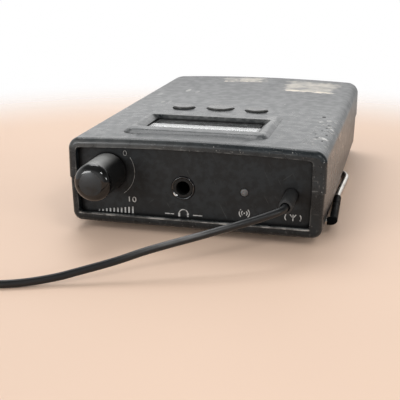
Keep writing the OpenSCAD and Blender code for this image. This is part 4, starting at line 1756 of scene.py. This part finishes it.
@dataclass
class BeltClip:
    """Bent wire clip with a black sleeve on the front of each leg."""

    case: Case
    tool: NodeTool
    wire_r: float = 0.9
    sleeve_r: float = 1.06
    sleeve_ends: Span = (0.2, 0.6)
    sleeve_taper: float = 0.86
    sleeve_slack: float = 0.05
    pin_r: float = 0.8
    pin_in: float = 27.0
    sides: int = 28
    steps: int = 10
    corners_mm: tuple[Point, ...] = (
        (32.7, 9.8, 1.9), (34.2, 9.8, 1.9), (32.45, 43.0, -1.2), (33.3, 66.5, -1.2),
        (20.0, 79.0, -1.2), (17.0, 93.0, -1.2), (0.0, 93.0, -1.2),
    )
    starts_mm: tuple[float, ...] = (0.0, 1.4, 4.0, 5.0, 6.0, 5.5, 0.0)

    def build(self) -> None:
        """Builds the wire and its sleeves."""
        half = eased_path([Vector(p) for p in self.corners_mm], self.starts_mm, self.steps)
        leg = [Vector((self.pin_in, half[0].y, half[0].z))] + half
        mirrored = [Vector((-p.x, p.y, p.z)) for p in reversed(leg[:-1])]
        path = [self.case.at(*p) for p in leg + mirrored]
        pin = [self.pin_r / self.wire_r] * 2
        widths = pin + [1.0] * (len(path) - 4) + pin
        bright = BareMetal("clip_nickel", tone=(0.52, 0.49, 0.45), dull=(0.34, 0.30, 0.26),
                           roughness=(0.22, 0.38)).make()
        made = self.tool.wire("belt_clip_wire", path, self.wire_r * MM, self.sides, bright, widths)
        settle(shade(made, WIRE_CREASE), Body.CLIP, Slot.NICKEL, "belt_clip")
        self.sleeves(half)

    def sleeves(self, half: Sequence[Vector]) -> None:
        """Sleeves over the front of both legs.

        Args:
            half: Middle line of the right half, in case millimetres.
        """
        gloss = SmoothPolymer("sleeve_gloss", tone=(0.003, 0.003, 0.003), roughness=(0.22, 0.36),
                              grain=1500.0, relief=0.00001, mark_share=0.03, specular=0.002).make()
        reach = (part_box("clip_sleeve_right")[1].y - self.case.front) / MM
        line = [p for p in half[1:] if p.y < reach + self.sleeve_slack]
        first, last = self.sleeve_ends
        line.insert(0, line[0] - (line[1] - line[0]).normalized() * first)
        line.append(line[-1] + (line[-1] - line[-2]).normalized() * last)
        widths = [self.sleeve_taper] + [1.0] * (len(line) - 2) + [self.sleeve_taper]
        for side, sign in (("right", 1.0), ("left", -1.0)):
            node = f"clip_sleeve_{side}"
            path = [self.case.at(sign * p.x, p.y, p.z) for p in line]
            made = self.tool.wire(f"{node}_tube", path, self.sleeve_r * MM, self.sides, gloss, widths)
            settle(shade(made, WIRE_CREASE), Body.CLIP, Slot.GLOSS, node)


@dataclass
class PanelPrint:
    """Printed scale round the knob and plain signs under the controls."""

    case: Case
    lift: float = 0.02
    thickness: float = 0.03
    line: float = 0.24
    fine_line: float = 0.09
    scale_r: float = 6.9
    scale_turn: Span = (34.0, -56.0)
    scale_line: float = 0.055
    scale_steps: int = 40
    bars: int = 10
    bar_step: float = 1.02
    bar_low: float = 0.5
    bar_rise: float = 0.14
    bar_width: float = 0.4
    one_x: float = -1.0
    one_height: float = 1.3
    nought_x: float = 0.35
    nought_middle: float = 0.65
    nought_half: Span = (0.42, 0.62)
    nought_steps: int = 20
    band_r: float = 1.15
    band_drop: float = 0.2
    band_turn: Span = (10.0, 170.0)
    band_steps: int = 16
    pad: Span = (-0.95, 0.05)
    pad_width: float = 0.5
    dash: Span = (2.5, 4.9)
    dash_drop: float = 0.4
    dot_half: float = 0.16
    wave_r: Span = (0.72, 1.3)
    wave_turn: float = 48.0
    wave_steps: int = 8
    mast: Span = (-0.85, 0.8)
    arm_foot: float = -0.1
    arm_out: float = 0.75
    side_wave_x: float = 0.9
    side_wave_r: float = 1.1
    side_wave_turn: float = 42.0
    level_at: Span = (-25.6, 2.5)
    ten_at: Span = (-16.3, 5.6)
    nought_at: Span = (-18.2, 17.7)
    phones_at: Span = (-2.9, 3.6)
    wave_at: Span = (12.8, 4.8)
    mast_at: Span = (25.0, 4.6)
    bm: Mesh = field(init=False, default_factory=bmesh.new)

    def build(self) -> None:
        """Builds the marks as one thin piece."""
        back = axis_of("volume_knob")[0]
        knob = (back.x / MM, (back.z - self.case.floor) / MM)
        self.stroke(arc(knob, self.scale_r, *self.scale_turn, self.scale_steps), self.scale_line)
        self.level_sign(*self.level_at)
        self.number_ten(*self.ten_at)
        self.nought(*self.nought_at, self.fine_line)
        self.headphone_sign(*self.phones_at)
        self.wave_sign(*self.wave_at)
        self.mast_sign(*self.mast_at)
        bmesh.ops.recalc_face_normals(self.bm, faces=self.bm.faces)
        settle(piece_from("panel_print", self.bm, WornInk().make()), Body.CASE, Slot.WHITE)

    def stroke(self, line: Line, width: float, closed: bool = False) -> None:
        """Thin raised ribbon along a line on the panel.

        Args:
            line: Points across and up, in case millimetres.
            width: Width in millimetres.
            closed: Whether the line meets itself.
        """
        back = (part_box("end_panel")[0].y - self.case.front) / MM - self.lift
        front = back - self.thickness
        points = [Vector(p) for p in line]
        ends = (points[-1], points[0]) if closed else (points[0], points[-1])
        rings: list[list[Corner]] = []
        for before, p, after in zip([ends[0]] + points, points, points[1:] + [ends[1]]):
            along = (after - before).normalized()
            side = Vector((-along.y, along.x)) * width / 2
            corners = ((p + side, back), (p + side, front), (p - side, front), (p - side, back))
            rings.append([self.bm.verts.new(self.case.at(q.x, y, q.y)) for q, y in corners])
        bridge(self.bm, rings + rings[:1] if closed else rings)
        if not closed:
            self.bm.faces.new(rings[0][::-1])
            self.bm.faces.new(rings[-1])

    def bar(self, x: float, foot: float, top: float, width: float) -> None:
        """Upright line."""
        self.stroke([(x, foot), (x, top)], width)

    def wave(self, x: float, z: float, radius: float, toward: float, turn: float) -> None:
        """Arc about a point, open by so many degrees to both sides of a direction."""
        self.stroke(arc((x, z), radius, toward - turn, toward + turn, self.wave_steps), self.line)

    def level_sign(self, x: float, z: float) -> None:
        """Row of bars that rise with the level, from its left foot."""
        for k in range(self.bars):
            self.bar(x + self.bar_step * k, z, z + self.bar_low + self.bar_rise * k, self.bar_width)

    def number_ten(self, x: float, z: float) -> None:
        """Plain number at the high end of the scale, about the middle of its foot."""
        self.bar(x + self.one_x, z, z + self.one_height, self.line)
        self.nought(x + self.nought_x, z, self.line)

    def nought(self, x: float, z: float, width: float) -> None:
        """Plain nought.

        Args:
            x: Its middle.
            z: Its foot.
            width: Width of its line.
        """
        (wide, high), middle = self.nought_half, z + self.nought_middle
        oval = [(x + wide * math.cos(a), middle + high * math.sin(a)) for a in full_turn(self.nought_steps)]
        self.stroke(oval, width, closed=True)

    def headphone_sign(self, x: float, z: float) -> None:
        """Head band with two ear pads between two short lines.

        Args:
            x: Middle of the sign.
            z: Middle of its height.
        """
        band = arc((x, z - self.band_drop), self.band_r, *self.band_turn, self.band_steps)
        self.stroke(band, self.line)
        for side in (-1, 1):
            self.bar(x + side * self.band_r, z + self.pad[0], z + self.pad[1], self.pad_width)
            self.stroke([(x + side * end, z - self.dash_drop) for end in self.dash], self.line)

    def wave_sign(self, x: float, z: float) -> None:
        """Dot with two pairs of waves.

        Args:
            x: Middle of the sign.
            z: Middle of its height.
        """
        self.stroke([(x - self.dot_half, z), (x + self.dot_half, z)], 2 * self.dot_half)
        for radius in self.wave_r:
            for toward in (0, 180):
                self.wave(x, z, radius, toward, self.wave_turn)

    def mast_sign(self, x: float, z: float) -> None:
        """Mast with spread arms and a wave on each side.

        Args:
            x: Middle of the sign.
            z: Middle of its height.
        """
        foot, top = (z + step for step in self.mast)
        self.bar(x, foot, top, self.line)
        for side, toward in ((-1, 180), (1, 0)):
            self.stroke([(x, z + self.arm_foot), (x + side * self.arm_out, top)], self.line)
            self.wave(x + side * self.side_wave_x, z, self.side_wave_r, toward, self.side_wave_turn)


@dataclass
class Fasteners:
    """Cross-head screws in the wells of the lower shell."""

    tool: NodeTool
    inset: float = 2.2
    head_r: float = 2.15
    head_h: float = 1.8
    head_edge: float = 0.45
    shank_r: float = 1.2
    thread_d: float = 0.18
    threads: int = 12
    plain: float = 1.0
    tip: float = 0.6
    slot_w: float = 0.55
    slot_r: float = 1.35
    slot_d: float = 0.9
    slot_taper: float = 0.45
    edge_steps: int = 5
    turns: tuple[float, ...] = (12.0, 48.0, 75.0, 31.0)
    segments: int = 32

    def build(self) -> None:
        """Builds the four screws from one shape."""
        low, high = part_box("case_screws")
        inset = self.inset * MM
        across = (high.x - low.x) / 2 - inset
        spots = [Vector((side * across, y, low.z)) for side in (-1, 1)
                 for y in (low.y + inset, high.y - inset)]
        turns = [Vector((0.0, 0.0, math.radians(a))) for a in self.turns]
        finish = BareMetal("screw_black", tone=(0.06, 0.06, 0.062), dull=(0.025, 0.02, 0.018),
                           roughness=(0.3, 0.45)).make()
        shape = self.screw((high.z - low.z) / MM, finish)
        made = self.tool.repeat("case_screw_set", shape, spots, turns, finish)
        settle(shade(made), Body.CASE, Slot.SCREW, "case_screws")

    def screw(self, length: float, finish: Material) -> Piece:
        """One screw with its head down at the origin.

        Args:
            length: Whole length in millimetres.
            finish: Its material.

        Returns:
            The shape.
        """
        edge = self.head_edge
        profile = [(0.0, 0.0), *arc((self.head_r - edge, edge), edge, -90, 0, self.edge_steps)]
        profile += [(self.head_r, self.head_h), (self.shank_r, self.head_h)]
        start = self.head_h + self.plain
        pitch = (length - start - self.plain) / self.threads
        root = self.shank_r - self.thread_d
        for k in range(self.threads):
            profile += [(root, start + pitch * k), (self.shank_r, start + pitch * (k + 0.5))]
        profile += [(root, length - self.tip), (0.0, length)]
        bm = lathe(profile, Vector((0, 0, 0)), self.segments)
        upright = Matrix.Rotation(math.radians(-90), 3, "X")
        bmesh.ops.rotate(bm, verts=bm.verts, cent=(0, 0, 0), matrix=upright)
        bmesh.ops.recalc_face_normals(bm, faces=bm.faces)
        shape = piece_from("screw_shape", bm, finish)
        self.cut_cross(shape, finish)
        return shape

    def cut_cross(self, shape: Piece, finish: Material) -> None:
        """Cuts the cross recess into the head.

        Args:
            shape: The screw.
            finish: Its material.
        """
        bm = bmesh.new()
        for wide, deep in ((self.slot_r, self.slot_w / 2), (self.slot_w / 2, self.slot_r)):
            for v in bmesh.ops.create_cube(bm, size=2.0)["verts"]:
                taper = 1.0 if v.co.z < 0 else self.slot_taper
                v.co = Vector((v.co.x * wide * taper, v.co.y * deep * taper, v.co.z * self.slot_d)) * MM
        cutter = piece_from("screw_cutter", bm, finish)
        cut = shape.modifiers.new("cross", "BOOLEAN")
        cut.object = cutter
        cut.solver = "EXACT"
        cut.use_self = True
        bake(shape, cut)
        bpy.data.objects.remove(cutter)


@dataclass
class Interior:
    """Boards, contacts and cells inside the case."""

    copies: FrameCopies
    cell_crease: float = 30.0

    def build(self) -> None:
        """Dresses the pieces that show when the door is off, and those that are shut in."""
        board = CircuitBoard().make()
        steel = BareMetal("inner_steel", tone=(0.56, 0.56, 0.55), dull=(0.38, 0.37, 0.35)).make()
        tin = BareMetal("inner_tin", tone=(0.62, 0.62, 0.61), dull=(0.45, 0.45, 0.44),
                        roughness=(0.25, 0.4)).make()
        black = SmoothPolymer("inner_black", tone=(0.018, 0.018, 0.018), roughness=(0.4, 0.55)).make()
        red = SmoothPolymer("plunger_red", tone=(0.42, 0.05, 0.03), roughness=(0.3, 0.4)).make()
        for finish, nodes in (
            (board, ("display_board", "main_board")),
            (black, ("tact_switches", "board_header", "board_components")),
            (steel, ("volume_pot", "pot_shaft", "display_screws", "board_screws")),
            (tin, ("rf_shield",)),
            (red, ("antenna_lead", "plunger_left", "plunger_middle", "plunger_right")),
        ):
            for node in nodes:
                self.copies.paint(node, finish)
        for node in ("battery_springs", "battery_plates"):
            self.copies.dress(node, tin, Slot.NICKEL)
        for side, nub_end in (("left", 1), ("right", 0)):
            node = f"battery_cell_{side}"
            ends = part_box(node)
            jacket = CellJacket(nub=ends[nub_end].y, seat=ends[1 - nub_end].y,
                                name=f"cell_{side}_jacket").make()
            self.copies.dress(node, jacket, Slot.CELL, angle=self.cell_crease)


# Stage


@dataclass(frozen=True)
class Lamp:
    """Soft rectangular lamp that faces the pack, with its power in watts."""

    name: str
    place: Point
    size: Span
    power: float

    def build(self) -> None:
        """Builds the lamp."""
        lamp = bpy.data.lights.new(self.name, "AREA")
        lamp.shape = "RECTANGLE"
        lamp.size, lamp.size_y = self.size
        lamp.energy = self.power
        made = linked(self.name, lamp)
        made.location = self.place
        made.rotation_mode = "QUATERNION"
        made.rotation_quaternion = (-Vector(self.place)).to_track_quat("-Z", "Y")
        made.visible_camera = False


@dataclass
class Studio:
    """Floor, light and camera."""

    camera_at: Point = (0.05162, -0.24527, 0.07394)
    pitch: float = 17.273
    yaw: float = 14.023
    lens: float = 77.62
    sensor: float = 36.0
    clip: Span = (0.01, 20.0)
    floor_half: float = 1.5
    floor_tone: Colour = (0.76, 0.56, 0.43)
    floor_lighter: float = 1.04
    floor_cloud: Cloud = Cloud(9.0, 2.0, 0.3, 0.7)
    floor_roughness: float = 0.62
    floor_middle: float = -0.05
    floor_reach: float = 0.19
    floor_soft: float = 0.05
    white: Colour = (1.0, 1.0, 1.0)
    sky: float = 0.64
    ceiling: tuple[float, ...] = (0.36, 0.68, 1.0, 0.30)
    right_side: tuple[float, ...] = (0.10, 0.70, 1.0, 0.30)
    lamps: tuple[Lamp, ...] = (
        Lamp("key_light", (-0.14, 0.24, 0.50), (0.30, 0.26), 1.1),
        Lamp("back_light", (0.05, 0.62, 0.30), (1.0, 0.40), 0.8),
        Lamp("left_light", (-0.38, -0.62, 0.17), (0.28, 0.20), 1.8),
        Lamp("right_light", (0.50, -0.26, 0.15), (0.08, 0.10), 0.45),
        Lamp("front_light", (0.29, -0.40, 0.43), (0.10, 0.10), 0.6),
    )

    def build(self) -> None:
        """Builds the stage."""
        bpy.context.scene.view_settings.view_transform = "Standard"
        self.floor()
        self.world()
        for lamp in self.lamps:
            lamp.build()
        self.camera()

    def floor(self) -> None:
        """Pale floor that fades into the white behind it."""
        bm = bmesh.new()
        bmesh.ops.create_grid(bm, x_segments=1, y_segments=1, size=self.floor_half)
        t = ShaderTree("floor_pale")
        lighter = toned(self.floor_tone, self.floor_lighter)
        t.set(Base_Color=t.mix(t.cloud(self.floor_cloud), self.floor_tone, lighter),
              Roughness=self.floor_roughness)
        away = t.squares(t.x, t.math("SUBTRACT", t.y, self.floor_middle))
        far = t.rise(t.math("SQRT", away, 0.0), self.floor_reach - self.floor_soft,
                     self.floor_reach + self.floor_soft)
        clear = t.node("ShaderNodeBsdfTransparent").outputs[0]
        blend = t.node("ShaderNodeMixShader", {0: far, 1: t.bsdf.outputs[0], 2: clear})
        t.feed(t.output.inputs["Surface"], blend.outputs[0])
        piece_from("floor", bm, t.material)

    def world(self) -> None:
        """Even sky for the light, white where it is seen, and greyer above and to the right in gloss."""
        world = bpy.data.worlds.new("studio_sky")
        bpy.context.scene.world = world
        world.use_nodes = True
        sky = Wiring(world.node_tree)
        rays = sky.node("ShaderNodeLightPath").outputs
        toward = sky.node("ShaderNodeTexCoord").outputs["Generated"]
        axes = sky.node("ShaderNodeSeparateXYZ", {0: toward}).outputs
        ramps = [sky.node("ShaderNodeMapRange", dict(enumerate((axes[axis], *span)))).outputs[0]
                 for axis, span in (("Z", self.ceiling), ("X", self.right_side))]
        dimmed = sky.node("ShaderNodeMath", dict(enumerate(ramps)), operation="MULTIPLY").outputs[0]
        shown = sky.node("ShaderNodeBackground", {"Color": self.white, "Strength": self.sky}).outputs[0]
        for kind, strength in (("Glossy", dimmed), ("Transmission", 1.0), ("Camera", 1.0)):
            light = sky.node("ShaderNodeBackground", {"Color": self.white, "Strength": strength}).outputs[0]
            feeds = {0: rays[f"Is {kind} Ray"], 1: shown, 2: light}
            shown = sky.node("ShaderNodeMixShader", feeds).outputs[0]
        sky.node("ShaderNodeOutputWorld", {"Surface": shown})

    def camera(self) -> None:
        """Camera of the photograph's view."""
        data = bpy.data.cameras.new("photo_view")
        data.lens = self.lens
        data.sensor_width = self.sensor
        data.clip_start, data.clip_end = self.clip
        made = linked("photo_view", data)
        made.location = self.camera_at
        made.rotation_euler = (math.radians(90 - self.pitch), 0.0, math.radians(self.yaw))
        bpy.context.scene.camera = made


def clear_scene() -> None:
    """Removes what a new file holds."""
    for made in list(bpy.data.objects):
        bpy.data.objects.remove(made)


def main() -> None:
    """Builds the pack and its stage."""
    logging.basicConfig(level=logging.INFO, format="%(name)s: %(message)s")
    clear_scene()
    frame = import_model()
    case = Case()
    tool = NodeTool()
    copies = FrameCopies(frame["nodes"])
    Studio().build()
    Antenna(case, tool).build()
    CaseShells(case, copies).build()
    VolumeKnob().build()
    PanelSockets(copies).build()
    KeyRow().build()
    Display(copies).build()
    BeltClip(case, tool).build()
    PanelPrint(case).build()
    Fasteners(tool).build()
    Interior(copies).build()
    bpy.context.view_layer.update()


if __name__ == "__main__":
    main()
